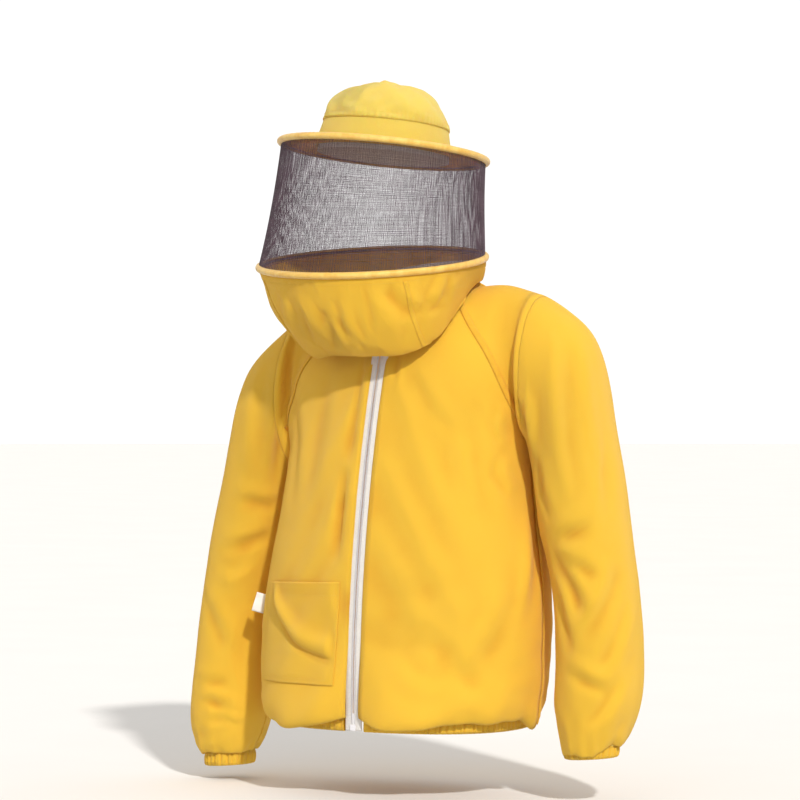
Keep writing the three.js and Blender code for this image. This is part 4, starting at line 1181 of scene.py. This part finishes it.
def plated(shade):
    place = shade.make("ShaderNodeTexCoord", output=3)
    cloud = shade.noise(place, 60.0)
    scratch = shade.noise(place, 1400.0, 2.0)
    return ({"Base Color": cloud.between((0.68, 0.69, 0.72, 1), (0.82, 0.83, 0.85, 1)),
             "Roughness": cloud * 0.22 + scratch * 0.1 + 0.1}, scratch, 0.00002)


slider_plate = new_material("plated_slider", plated, Metallic=1.0)
for node in ("front_zip_slider", "front_zip_pull", "hood_zip_slider", "hood_zip_pull"):
    dress(node, slider_plate)

# ---- Collar stand and the hood's zip ----------------------------------------------------------
# A narrow standing collar of drill. A second coil zip goes round it just above: its lower tape is sewn
# inside the collar and its upper one inside the skirt of the hood.
stand_height = 0.014
ring_zip_up = 0.0225
coil_half = 0.0028
collar_opening = math.radians(8)
cloth = 0.0024


def ring_sheet(name, place, profile, start, stop, columns, looks, thickness, flip=False, ripple=0.0,
               waves=60):
    """A sheet that follows an (out, up) profile round a ring, slightly rippled."""
    closed = stop - start > math.tau - 1e-6
    angles = np.linspace(start, stop, columns, endpoint=not closed)
    rows = []
    for out, up in profile:
        rows.append([place(a, out + ripple * (math.sin(a * waves) + 0.6 * math.sin(a * waves * 0.37 + 2)), up)
                     for a in angles])
    return grid_sheet(name, np.array(rows), looks, thickness, wrap=closed, flip=flip)


def collar_place(angle, out, up):
    return neck_place(angle, collar_radius + out, up)


collar = ring_sheet("collar_stand_cloth", collar_place,
                    [(0.0002, 0.0008), (0.0003, 0.004), (0.0002, 0.008), (0, 0.012), (-0.0006, 0.0138),
                     (-0.0014, 0.0138), (-0.0018, 0.012), (-0.0018, 0.0012)],
                    collar_opening, math.tau - collar_opening, 260, drill, 0.0006, True, 0.0004, 70)
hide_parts("collar_stand")
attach(collar, "jacket")
for k, up in enumerate((0.0025, 0.0115)):
    angles = np.linspace(collar_opening + 0.02, math.tau - collar_opening - 0.02, 260)
    path = np.array([collar_place(a, 0.0009, up) for a in angles])
    outs = np.array([collar_place(a, 0.01, up) - collar_place(a, 0, up) for a in angles]) * 100
    sewn = stitches(f"collar_stitches_{k}", path, outs, thread_cotton, seed=20 + k)
    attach(sewn, "jacket")
ring_tapes = {
    "collar_zip_tape": ("jacket", stand_height + 0.0005, ring_zip_up - coil_half - 0.0003),
    "hood_zip_tape": ("hood", ring_zip_up + coil_half + 0.0003, ring_zip_up + 0.009),
}
for node, (body, low, high) in ring_tapes.items():
    profile = [(-0.0012 + 0.0002 * math.sin(k * 2.2), mix(low, high, k / 4)) for k in range(5)]
    tape = ring_sheet(f"{node}_cloth", collar_place, profile, collar_opening, math.tau - collar_opening,
                      260, tape_white, 0.0007, True, 0.00025, 80)
    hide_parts(node)
    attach(tape, body)
for node, body, up in (("collar_zip_coil", "jacket", ring_zip_up - 0.0015),
                       ("hood_zip_coil", "hood", ring_zip_up + 0.0015)):
    sweep = math.tau - 2 * collar_opening

    def ring_out(share):
        way = neck_place(collar_opening + share * sweep, 1) - neck_centre
        return way / np.linalg.norm(way)

    teeth = coil(f"{node}_turns", lambda s: collar_place(collar_opening + s * sweep, -0.0009, up),
                 lambda s: neck_up, ring_out, sweep * collar_radius, nylon_white,
                 0 if body == "hood" else math.pi, half=0.0012, deep=0.0012)
    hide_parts(node)
    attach(teeth, body)

# ---- Pocket and label -------------------------------------------------------------------------
# A patch pocket of drill on the right front, slightly bagged, with a stitched top hem that stands a
# little open. A blank satin label is sewn into the right side seam.
def right_skin(x, z):
    width = half_width(z)
    angle = math.asin((x / width) ** (roundness / 2))
    depth = mix(side_y, front_depth(z), math.cos(angle) ** (2 / roundness))
    return stance((-x, depth, z), float(smooth(z, hem_z, armpit_z)))


pocket_columns, pocket_rows = 66, 66
base = np.zeros((pocket_rows + 1, pocket_columns + 1, 3))
outs = np.zeros_like(base)
for i in range(pocket_rows + 1):
    for j in range(pocket_columns + 1):
        z = mix(-0.596, -0.438, i / pocket_rows)
        x = mix(0.030, 0.186, j / pocket_columns)
        base[i, j] = right_skin(x, z)
facing = np.cross(np.gradient(base, axis=1), np.gradient(base, axis=0))
outs = facing / np.linalg.norm(facing, axis=2, keepdims=True)
if outs[30, 30][1] > 0:
    outs = -outs
under = np.zeros(base.shape[:2])
for i in range(pocket_rows + 1):
    for j in range(pocket_columns + 1):
        start = Vector(base[i, j] + outs[i, j] * 0.06)
        hit = skin_tree.ray_cast(start, Vector(-outs[i, j]))
        under[i, j] = 0.06 - hit[3] if hit[0] else 0
blurred = under.copy()
for _ in range(25):
    padded = np.pad(blurred, 1, mode="edge")
    blurred = (padded[:-2, 1:-1] + padded[2:, 1:-1] + padded[1:-1, :-2] + padded[1:-1, 2:]) / 4
u, v = np.meshgrid(np.linspace(0, 1, pocket_columns + 1), np.linspace(0, 1, pocket_rows + 1))
edge = np.minimum(np.minimum(u, 1 - u), v)
inside = smooth(edge, 0.0, 0.12)
flat = base.reshape(-1, 3)
lumps = 0.0012 * unevenness(flat, 0.09, 8, (1, 1, 0.5)).reshape(u.shape)
crescent = 0.22 + 0.15 * u + 0.62 * u**3
fades = smooth(u, 0.0, 0.08) * smooth(u, 0.92, 0.80)
sag = 0.0085 * np.exp(-((v - crescent - 0.13) / 0.11) ** 2)
sag = sag * smooth(v, crescent - 0.02, crescent + 0.06) * fades
gape = 0.003 * smooth(v, 0.86, 1.0) * np.sin(np.pi * u)
crease = -0.0035 * np.exp(-((v - crescent) / 0.035) ** 2) * fades
lift = mix(under, blurred, inside) + inside * (0.0014 + lumps + sag + crease) + gape
lift = np.maximum(lift, under) + 0.0015
pocket_grid = base + outs * lift[:, :, None]
pocket_corner, above, beside = pocket_grid[0, 30], pocket_grid[1, 30], pocket_grid[0, 31]
faces_in = np.cross(above - pocket_corner, beside - pocket_corner).dot(outs[0, 30]) > 0
pocket = grid_sheet("patch_pocket_cloth", pocket_grid, drill, 0.0010, flip=faces_in, hollow_rounds=8)
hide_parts("patch_pocket")
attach(pocket, "jacket")


def pocket_line(name, spots, seed):
    """Stitches over the pocket along a line of (across, up) shares."""
    spots = even([(*s, 0) for s in spots], 0.006)
    points, ways = [], []
    for s, t, _ in spots:
        i, j = clamp(t, 0, 1) * pocket_rows, clamp(s, 0, 1) * pocket_columns
        i0, j0 = min(int(i), pocket_rows - 1), min(int(j), pocket_columns - 1)
        a, b = i - i0, j - j0
        corner = lambda g: (g[i0, j0] * (1 - a) * (1 - b) + g[i0 + 1, j0] * a * (1 - b)
                            + g[i0, j0 + 1] * (1 - a) * b + g[i0 + 1, j0 + 1] * a * b)
        points.append(corner(pocket_grid) + corner(outs) * 0.0001)
        ways.append(corner(outs))
    sewn = stitches(name, np.array(points), np.array(ways), thread_cotton, seed=seed)
    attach(sewn, "jacket")


for k, inset in enumerate((0.012, 0.05)):
    far = 1 - inset
    spots = [(inset, 0.995), (inset, inset), (far, inset), (far, 0.995)]
    pocket_line(f"pocket_edge_stitches_{k}", spots, 30 + k)
for k, up in enumerate((0.98, 0.87)):
    pocket_line(f"pocket_hem_stitches_{k}", [(0.01, up), (0.99, up)], 34 + k)


def satin(shade):
    place = shade.make("ShaderNodeTexCoord", output=3)
    cloud = shade.noise(place, 200.0)
    weft = (Shade(shade.tree, shade.make("ShaderNodeSeparateXYZ", {0: place}).socket.node.outputs[2])
            * (math.tau / 0.0004)).sine()
    return ({"Base Color": cloud.between((0.82, 0.81, 0.78, 1), (0.92, 0.91, 0.88, 1)),
             "Roughness": cloud * 0.15 + 0.3}, weft + cloud, 0.00003)


label_satin = new_material("label_satin", satin, Sheen_Weight=0.3)
low, high = (Vector(c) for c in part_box("side_label"))
root = right_skin(0.2215, (low.z + high.z) / 2)
root, root_out = on_skin(root)
away = root_out - np.array((0, 0, root_out[2]))
away /= np.linalg.norm(away)
label_rows = []
side = np.cross(away, (0, 0, 1))
tip_way = away * math.cos(0.3) + np.array((0, 0, 0.30)) - view_right * 0.2
along_way = np.array((0, 0, 1)) - away * 0.30
for i in range(13):
    up = mix(-0.0145, 0.0145, i / 12)
    loop = []
    for k in range(15):
        turn = k / 14
        reach = 0.0165 * math.sin(math.pi * turn) ** 0.55
        part = 0.0007 * math.cos(math.pi * turn) + 0.0009 * math.sin(up * 230) * math.sin(math.pi * turn)
        loop.append(root + tip_way * (reach - 0.002) + side * part + along_way * up)
    label_rows.append(loop)
label = grid_sheet("side_label_satin", np.array(label_rows), label_satin, 0.0002)
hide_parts("side_label")
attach(label, "jacket")

# ---- Neck skirt -------------------------------------------------------------------------------
# A bag of drill between the hood's zip and the lower hoop, cut in four gores. It hangs full over the
# chest in front and is drawn tight behind, and it settles by cloth simulation between its two rings.
hood_turn = math.radians(37)
hoop_radius = 0.175
brim_radius = 0.160
piping_radius = 0.0046
bag_drop = 0.096
fit_gap = 0.0003


def hood_circle(forward, height, front_drop, side_drop):
    """A level ring of the hood, turned with the head and tipped by two angles in degrees."""
    front = np.array((-math.sin(hood_turn), -math.cos(hood_turn), 0))
    left = np.array((math.cos(hood_turn), -math.sin(hood_turn), 0))
    up = np.array((0, 0, 1.0)) + front * math.tan(math.radians(front_drop))
    up = up + left * math.tan(math.radians(side_drop))
    up /= np.linalg.norm(up)
    ahead = np.array((0, -1.0, 0)) + up * up[1]
    ahead /= np.linalg.norm(ahead)
    return circle_frame(front * forward + np.array((0, 0, height)), ahead, np.cross(up, ahead))


brim_place, brim_up, brim_centre = hood_circle(0.060, 0.220, -6.3, 0)
hoop_place, hoop_up, hoop_centre = hood_circle(0.079, 0.050, 6, 7)


def skirt_curve(angle):
    low = collar_place(angle, 0, ring_zip_up + 0.010)
    high = hoop_place(angle, hoop_radius, -piping_radius - fit_gap)
    outwards = np.array((math.sin(angle), -math.cos(angle), 0))
    sag = float(smooth(math.cos(angle + math.radians(6)), -0.25, 0.9))
    across = math.sin(angle)
    droop = (1 - sag) * (0.008 + 0.020 * max(across, 0) ** 2 + 0.012 * max(-across, 0) ** 2)

    def station(share, bulge, front_z, lift, droops):
        p = mix(low, high, share) + outwards * (mix(0.003, bulge, sag) + 0.45 * droop * droops)
        p[2] = mix(p[2] + lift, front_z, sag) - droop * droops
        return p

    return spline([low, station(0.03, 0.024, low[2] + 0.002, 0.003, 0.55),
                   station(0.16, 0.032, -0.034, 0.002, 1), station(0.34, 0.016, -bag_drop, 0, 0.75),
                   station(0.7, 0.008, -0.052, 0, 0.2), high])


skirt_rows, skirt_columns = 40, 160
skirt_curves = [skirt_curve(math.tau * j / skirt_columns) for j in range(skirt_columns)]
skirt_grid = np.array([[curve(i / skirt_rows) for curve in skirt_curves] for i in range(skirt_rows + 1)])
skirt_points = skirt_grid.reshape(-1, 3)
skirt_faces = np.array([[i * skirt_columns + j, i * skirt_columns + (j + 1) % skirt_columns,
                         (i + 1) * skirt_columns + (j + 1) % skirt_columns, (i + 1) * skirt_columns + j]
                        for i in range(skirt_rows) for j in range(skirt_columns)])
skirt_normals = vertex_normals(skirt_points, skirt_faces)
skirt_folds = [
    ([(-.022, -.22, -.013), (-.020, -.2, -.05), (-.010, -.18, -.08)], 0.009, -0.0040),
    ([(-.048, -.215, -.03), (-.03, -.2, -.045), (-.012, -.185, -.055)], 0.010, -0.0025),
    ([(-.075, -.215, .0), (-.07, -.2, -.04), (-.06, -.18, -.075)], 0.016, 0.006),
    ([(.05, -.2, .0), (.075, -.16, -.03), (.107, -.1, -.012)], 0.012, -0.0050),
    ([(.085, -.17, .01), (.095, -.13, -.02), (.107, -.1, -.025)], 0.011, -0.0030),
    ([(.03, -.215, .01), (.05, -.19, -.04), (.06, -.16, -.07)], 0.014, 0.005),
    ([(-.13, -.2, .005), (-.14, -.17, -.03), (-.13, -.14, -.06)], 0.014, -0.006),
    ([(-.19, -.14, .02), (-.175, -.11, -.01), (-.15, -.09, -.03)], 0.013, -0.006),
    ([(.1, -.14, .03), (.11, -.1, .01), (.1, -.06, .02)], 0.012, 0.004),
    ([(-.04, .09, .06), (-.05, .08, .045), (-.04, .07, .05)], 0.012, 0.003),
]
skirt_height = np.zeros(len(skirt_points))
for path, width, size in skirt_folds:
    skirt_height += fold(skirt_points, skirt_normals, path, width, size)
skirt_share = np.repeat(np.linspace(0, 1, skirt_rows + 1), skirt_columns)
skirt_turn = np.tile(np.arange(skirt_columns) * math.tau / skirt_columns, skirt_rows + 1)
skirt_height += 0.0022 * unevenness(skirt_points, 0.10, 14) + 0.0007 * unevenness(skirt_points, 0.035, 15)
ease = np.sin(skirt_turn * 46 + 1.5 * np.sin(skirt_turn * 7)) * smooth(skirt_share, 0.9, 0.985)
skirt_height += 0.0004 * ease
free = smooth(skirt_share, 0.0, 0.12) * smooth(skirt_share, 1.0, 0.94)
skirt_shaped = skirt_points + skirt_normals * (skirt_height * free)[:, None]
skirt_held = np.where((skirt_share == 0) | (skirt_share == 1), 1.0, 0.0)
settled = settle(skirt_shaped, skirt_faces, skirt_held, None, 14, 0.006)
skirt_shaped = skirt_shaped + limited(settled - skirt_shaped, 0.004)


def finer(grid, times=3):
    """A grid closed across its columns, with its rows and columns drawn finer by smooth curves."""
    for axis, closed in ((0, False), (1, True)):
        grid = np.moveaxis(grid, axis, 0)
        count = len(grid)
        ends = (np.concatenate([grid[-1:], grid, grid[:2]]) if closed else
                np.concatenate([2 * grid[:1] - grid[1:2], grid, 2 * grid[-1:] - grid[-2:-1]]))
        pieces = []
        for k in range(count if closed else count - 1):
            a, b, c, d = ends[k:k + 4]
            for t in np.arange(times) / times:
                pieces.append(0.5 * (2 * b + (c - a) * t + (2 * a - 5 * b + 4 * c - d) * t**2
                                     + (3 * b - a - 3 * c + d) * t**3))
        if not closed:
            pieces.append(grid[-1])
        grid = np.moveaxis(np.array(pieces), 0, axis)
    return grid


skirt_fine = finer(skirt_shaped.reshape(skirt_rows + 1, skirt_columns, 3))
skirt = grid_sheet("neck_skirt_cloth", skirt_fine, drill, 0.0010, wrap=True, hollow_rounds=14)
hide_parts("neck_skirt_front", "neck_skirt_left", "neck_skirt_back", "neck_skirt_right")
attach(skirt, "hood")
skirt_tree = BVHTree.FromPolygons(skirt_shaped.tolist(), skirt_faces.tolist())
skirt_face_normals = vertex_normals(skirt_shaped, skirt_faces)


def on_skirt(p, lift=0.0):
    place, _, face, _ = skirt_tree.find_nearest(Vector(p))
    out = Vector(skirt_face_normals[skirt_faces[face]].mean(axis=0)).normalized()
    return np.array(place + out * lift), np.array(out)


for number in range(4):
    column = round((number + 0.5) * skirt_columns / 4)
    path = skirt_shaped.reshape(skirt_rows + 1, skirt_columns, 3)[1:-1, column]
    felled_seam(f"skirt_{number}", path, np.array((0, 1, 0)), "hood", 0.007, on_skirt)
for k, share in enumerate((0.03, 0.972)):
    row = round(share * (len(skirt_fine) - 1))
    path = np.concatenate([skirt_fine[row], skirt_fine[row, :1]])
    outs = np.array([on_skirt(p)[1] for p in path])
    sewn = stitches(f"skirt_edge_stitches_{k}", path + outs * 0.0001, outs, thread_cotton, seed=50 + k)
    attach(sewn, "hood")

# ---- Hoop bindings ----------------------------------------------------------------------------
# Bias strips of shiny satin cotton folded tightly round the two spring-wire hoops, with small puckers
# from the bend and a row of stitches on the inside.


def satin_cotton(shade):
    place = shade.make("ShaderNodeUVMap", uv_map="cloth")
    parts = shade.make("ShaderNodeSeparateXYZ", {0: place})
    along = Shade(shade.tree, parts.socket.node.outputs[1])
    ribs = ((parts + along * 1.4) * (math.tau / 0.0008)).sine()
    cloud = shade.noise(place, 60.0, 4.0)
    tone = (cloud + ribs * 0.06).rise(0.25, 0.75)
    return ({"Base Color": tone.between((0.80, 0.44, 0.055, 1), (0.93, 0.64, 0.16, 1)),
             "Roughness": cloud * 0.2 + 0.32}, ribs * 0.6 + cloud, 0.00008)


binding = new_material("satin_binding", satin_cotton, Sheen_Weight=0.25, Coat_Weight=0.12, Coat_Roughness=0.3)


def spring_steel(shade):
    place = shade.make("ShaderNodeTexCoord", output=3)
    drawn = shade.noise(place, 700.0, 2.0)
    return ({"Base Color": drawn.between((0.5, 0.51, 0.53, 1), (0.72, 0.73, 0.74, 1)),
             "Roughness": drawn * 0.2 + 0.2}, drawn, 0.00002)


spring_wire = new_material("spring_wire", spring_steel, Metallic=1.0)


def bound_hoop(name, place, radius, node, body, seed):
    dice = np.random.default_rng(seed)
    turns = np.linspace(math.radians(34) - math.pi, math.pi - math.radians(34), 17)
    columns = 620
    phase = dice.uniform(0, 6, 3)
    angles = np.arange(columns) * math.tau / columns
    pucker = (np.sin(angles * 143 + 2 * np.sin(angles * 9 + phase[0]))
              + 0.7 * np.sin(angles * 61 + phase[1])) * 0.00016
    rows = []
    for turn in turns:
        full = 0.3 + 0.7 * math.sin((turn + math.pi) / 2) ** 2
        row = []
        for a, p in zip(angles, pucker):
            reach, twist = piping_radius - 0.0001 + p * full, turn + 0.12 * math.sin(a * 5)
            row.append(place(a, radius + reach * math.cos(twist), reach * math.sin(twist)))
        rows.append(row)
    tube = grid_sheet(name, np.array(rows), binding, 0.0008, wrap=True, flip=True)
    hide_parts(node)
    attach(tube, body)
    for k, turn in enumerate((math.radians(118), math.radians(-118))):
        path = np.array([place(a, radius + piping_radius * math.cos(turn), piping_radius * math.sin(turn))
                         for a in np.append(angles, 0)])
        outs = np.array([place(a, radius + math.cos(turn), math.sin(turn)) - place(a, radius, 0)
                         for a in np.append(angles, 0)])
        sewn = stitches(f"{name}_stitches_{k}", path, outs, thread_cotton, seed=seed + k)
        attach(sewn, body)


bound_hoop("lower_hoop_cloth", hoop_place, hoop_radius, "lower_hoop_binding", "hood", 60)
bound_hoop("brim_hoop_cloth", brim_place, brim_radius, "brim_hoop_binding", "hat", 64)
dress("lower_hoop_wire", spring_wire)
dress("brim_hoop_wire", spring_wire)

# ---- Net veil ---------------------------------------------------------------------------------
# An open square net of fine dark polyester, 1.5 mm to the hole, stretched from the lower hoop to the brim
# and standing a little slack between them. Every thread is modelled.
net_thread = 0.00028
net_depth = 0.00034


def polyester(shade):
    place = shade.make("ShaderNodeTexCoord", output=3)
    cloud = shade.noise(place, 40.0)
    twist = shade.noise(place, 2500.0, 2.0)
    tone = (cloud + twist * 0.3).rise(0.3, 0.9)
    return ({"Base Color": tone.between((0.060, 0.036, 0.052, 1), (0.125, 0.080, 0.108, 1)),
             "Roughness": cloud * 0.2 + 0.45}, twist, 0.00005)


net_black = new_material("veil_polyester", polyester, Specular_IOR_Level=0.35)
around = 712
rings_up = 113


def veil_place(angle, share):
    low = hoop_place(angle, hoop_radius - 0.0006, piping_radius + fit_gap)
    high = brim_place(angle, brim_radius - 0.0015, -piping_radius - fit_gap)
    out = np.array((math.sin(angle), -math.cos(angle), 0))
    slack = math.sin(math.pi * share)
    wave = 0.0009 * math.sin(angle * 3 + 1.1 + 1.2 * share) + 0.0003 * math.sin(angle * 7 + 4 * share)
    return mix(low, high, share) + out * slack * (wave - 0.002)


def square_threads(name, lines, closed, looks):
    """Square threads along lines of points, given as an array (line, point, xyz) with their normals."""
    lines, outs = lines
    count, length = lines.shape[:2]
    if closed:
        ways = np.roll(lines, -1, axis=1) - np.roll(lines, 1, axis=1)
    else:
        ways = np.gradient(lines, axis=1)
    ways /= np.linalg.norm(ways, axis=2, keepdims=True)
    sides = np.cross(outs, ways)
    half, deep = net_thread / 2, net_depth / 2
    corners = np.stack([lines + sides * half + outs * deep, lines - sides * half + outs * deep,
                        lines - sides * half - outs * deep, lines + sides * half - outs * deep], axis=2)
    points = corners.reshape(-1, 3)
    starts = np.arange(count)[:, None, None] * length
    along = np.arange(length if closed else length - 1)[None, :, None]
    base = (starts + along) * 4
    after = (starts + (along + 1) % length) * 4
    k = np.arange(4)[None, None, :]
    faces = np.stack([base + k, base + (k + 1) % 4, after + (k + 1) % 4, after + k], axis=3).reshape(-1, 4)
    if not closed:
        first = np.arange(count)[:, None] * length * 4 + np.array([3, 2, 1, 0])
        last = (np.arange(count)[:, None] * length + length - 1) * 4 + np.array([0, 1, 2, 3])
        faces = np.concatenate([faces, first, last])
    mesh = bpy.data.meshes.new(name)
    mesh.from_pydata(points.tolist(), [], faces.tolist())
    return mesh


net_dice = np.random.default_rng(7)
net_angles = (np.arange(around) + net_dice.uniform(-0.36, 0.36, around)) * math.tau / around
net_heights = (np.arange(rings_up) + 0.5 + net_dice.uniform(-0.34, 0.34, rings_up)) / rings_up
net_outs = np.array([(math.sin(a), -math.cos(a), 0) for a in net_angles])
upright = np.array([[veil_place(a, s) for s in np.linspace(0, 1, 9)] for a in net_angles])
level = np.array([[veil_place(a, share) for a in net_angles[::2]] for share in net_heights])
warp = square_threads("veil_upright", (upright, np.repeat(net_outs[:, None], 9, axis=1)), False, net_black)
level_outs = np.repeat(net_outs[None, ::2], rings_up, axis=0)
weft = square_threads("veil_level", (level, level_outs), True, net_black)
offset = len(warp.vertices)
both = bpy.data.meshes.new("net_veil_threads")
all_points = [v.co[:] for v in warp.vertices] + [v.co[:] for v in weft.vertices]
all_faces = [list(p.vertices) for p in warp.polygons]
all_faces += [[i + offset for i in p.vertices] for p in weft.polygons]
both.from_pydata(all_points, [], all_faces)
veil = add_piece("net_veil_threads", both, net_black)
both.polygons.foreach_set("use_smooth", [False] * len(both.polygons))
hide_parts("net_veil")
Vector(hoop_centre + hoop_up * 0.012)
Vector(brim_centre - brim_up * 0.012)
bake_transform(veil)

# ---- Hat --------------------------------------------------------------------------------------
# A round hat in paler cotton: a brim of two layers quilted in rings, an upright side band, and a soft
# domed top whose cloth falls in shallow slanting creases. A ribbed sweatband runs round inside.
crown_radius = 0.106
crown_top_radius = 0.096
band_rise = 0.046
crown_rise = 0.104


def hat_place(angle, radius, up):
    sway = 0.0015 * math.sin(2 * angle + 0.8) * smooth(radius, crown_radius, brim_radius)
    return brim_place(angle, radius, up + float(sway))


def turned_sheet(name, profile, columns, looks, thickness, shape=None, flip=False, rounds=8):
    """A sheet turned about the hat's axis from a profile of (radius, up), shaped by a height function."""
    angles = np.arange(columns) * math.tau / columns
    grid = np.array([[hat_place(a, r, up) for a in angles] for r, up in profile])
    if shape is not None:
        points = grid.reshape(-1, 3)
        count = len(profile)
        faces = np.array([[i * columns + j, i * columns + (j + 1) % columns,
                           (i + 1) * columns + (j + 1) % columns, (i + 1) * columns + j]
                          for i in range(count - 1) for j in range(columns)])
        outs = vertex_normals(points, faces) * (-1 if flip else 1)
        heights = shape(points, outs, np.repeat(np.linspace(0, 1, count), columns), np.tile(angles, count))
        grid = (points + outs * heights[:, None]).reshape(grid.shape)
    return grid_sheet(name, grid, looks, thickness, wrap=True, flip=flip, hollow_rounds=rounds)


quilt_rings = np.linspace(crown_radius + 0.006, brim_radius - 0.009, 6)


def quilted(points, outs, share, turn):
    radius = mix(crown_radius + 0.0005, brim_radius - piping_radius - fit_gap, share)
    puff = np.zeros(len(points))
    for ring in quilt_rings:
        puff -= 0.0007 * np.exp(-((radius - ring) / 0.0011) ** 2)
    drag = np.sin(turn * 96 + radius * 900) * 0.00022 + np.sin(turn * 37 + radius * 500) * 0.00025
    return puff + 0.0006 + drag + 0.0010 * unevenness(points, 0.09, 21)


brim_inner, brim_outer = crown_radius + 0.0005, brim_radius - piping_radius - fit_gap
brim_profile = [(mix(brim_inner, brim_outer, i / 44), 0.0006) for i in range(45)]
brim = turned_sheet("brim_cloth", brim_profile, 420, hat_cotton, 0.0022, quilted)
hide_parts("brim")
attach(brim, "hat")
for side in (1, -1):
    for k, ring in enumerate(quilt_rings):
        angles = np.linspace(0, math.tau, 500)
        path = np.array([hat_place(a, ring, 0.0006 if side > 0 else -0.0016) for a in angles])
        face = "top" if side > 0 else "under"
        sewn = stitches(f"brim_{face}_stitches_{k}", path, np.tile(brim_up * side, (500, 1)),
                        thread_cotton, length=0.0028, gap=0.0014, seed=70 + k)
        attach(sewn, "hat")


def creased(points, outs, share, turn):
    lean_in = turn + share * 0.9
    soft = (np.sin(lean_in * 6 + 1.5 * np.sin(turn * 2 + 1)) * 0.0016
            + np.sin(lean_in * 11 + 2 + share * 3) * 0.0009)
    held_in = smooth(share, 0.0, 0.10) * smooth(share, 1.02, 0.75)
    gather = 0.0005 * np.sin(turn * 74 + np.sin(turn * 9) * 2) * smooth(share, 0.2, 0.02)
    dents = 0.0022 * unevenness(points, 0.075, 23) + 0.0007 * unevenness(points, 0.028, 24)
    return soft * held_in + dents * smooth(share, 0.0, 0.1) + gather


def banded(points, outs, share, turn):
    return (0.0010 * unevenness(points, 0.07, 25) * np.sin(np.pi * share)
            + 0.0003 * np.sin(turn * 66 + 3 * np.sin(turn * 5)) * smooth(share, 0.75, 1.0))


crown_curve = spline([(crown_top_radius, band_rise + 0.0006, 0),
                      (crown_top_radius - 0.008, band_rise + 0.022, 0),
                      (crown_top_radius - 0.032, crown_rise - 0.012, 0), (0.034, crown_rise - 0.002, 0),
                      (0.0012, crown_rise, 0)])
top_profile = [(crown_top_radius + 0.0024, band_rise - 0.006), (crown_top_radius + 0.0022, band_rise - 0.003)]
for i in range(47):
    radius, up, _ = crown_curve(i / 46)
    top_profile.append((float(radius) + 0.0019 * (1 - i / 46) ** 6, float(up)))
top = turned_sheet("crown_top_cloth", top_profile, 300, hat_cotton, 0.0011, creased, rounds=12)
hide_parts("crown_top")
band_profile = [(mix(crown_radius, crown_top_radius, i / 16), mix(-0.0012, band_rise, i / 16))
                for i in range(17)]
band = turned_sheet("crown_side_cloth", band_profile, 300, hat_cotton, 0.0011, banded)
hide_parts("crown_side")
for piece in (top, band):
    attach(piece, "hat")
angles = np.linspace(0, math.tau, 420)
for k, (radius, up) in enumerate(((crown_top_radius + 0.0026, band_rise - 0.0040),
                                  (crown_top_radius + 0.0009, band_rise + 0.0035),
                                  (crown_radius - 0.0005, 0.0045))):
    path = np.array([hat_place(a, radius, up) for a in angles])
    outs = np.array([brim_place(a, 1) - brim_centre for a in angles])
    sewn = stitches(f"crown_stitches_{k}", path, outs, thread_cotton, seed=90 + k)
    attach(sewn, "hat")
sweat_radius = crown_radius - cloth
sweat_profile = [(mix(sweat_radius - 0.0014, sweat_radius - 0.0062, i / 8), mix(-0.008, 0.022, i / 8))
                 for i in range(9)]
sweatband = turned_sheet("sweatband_ribbing", sweat_profile, 260, elastic_webbing, 0.0010)
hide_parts("sweatband")
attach(sweatband, "hat")
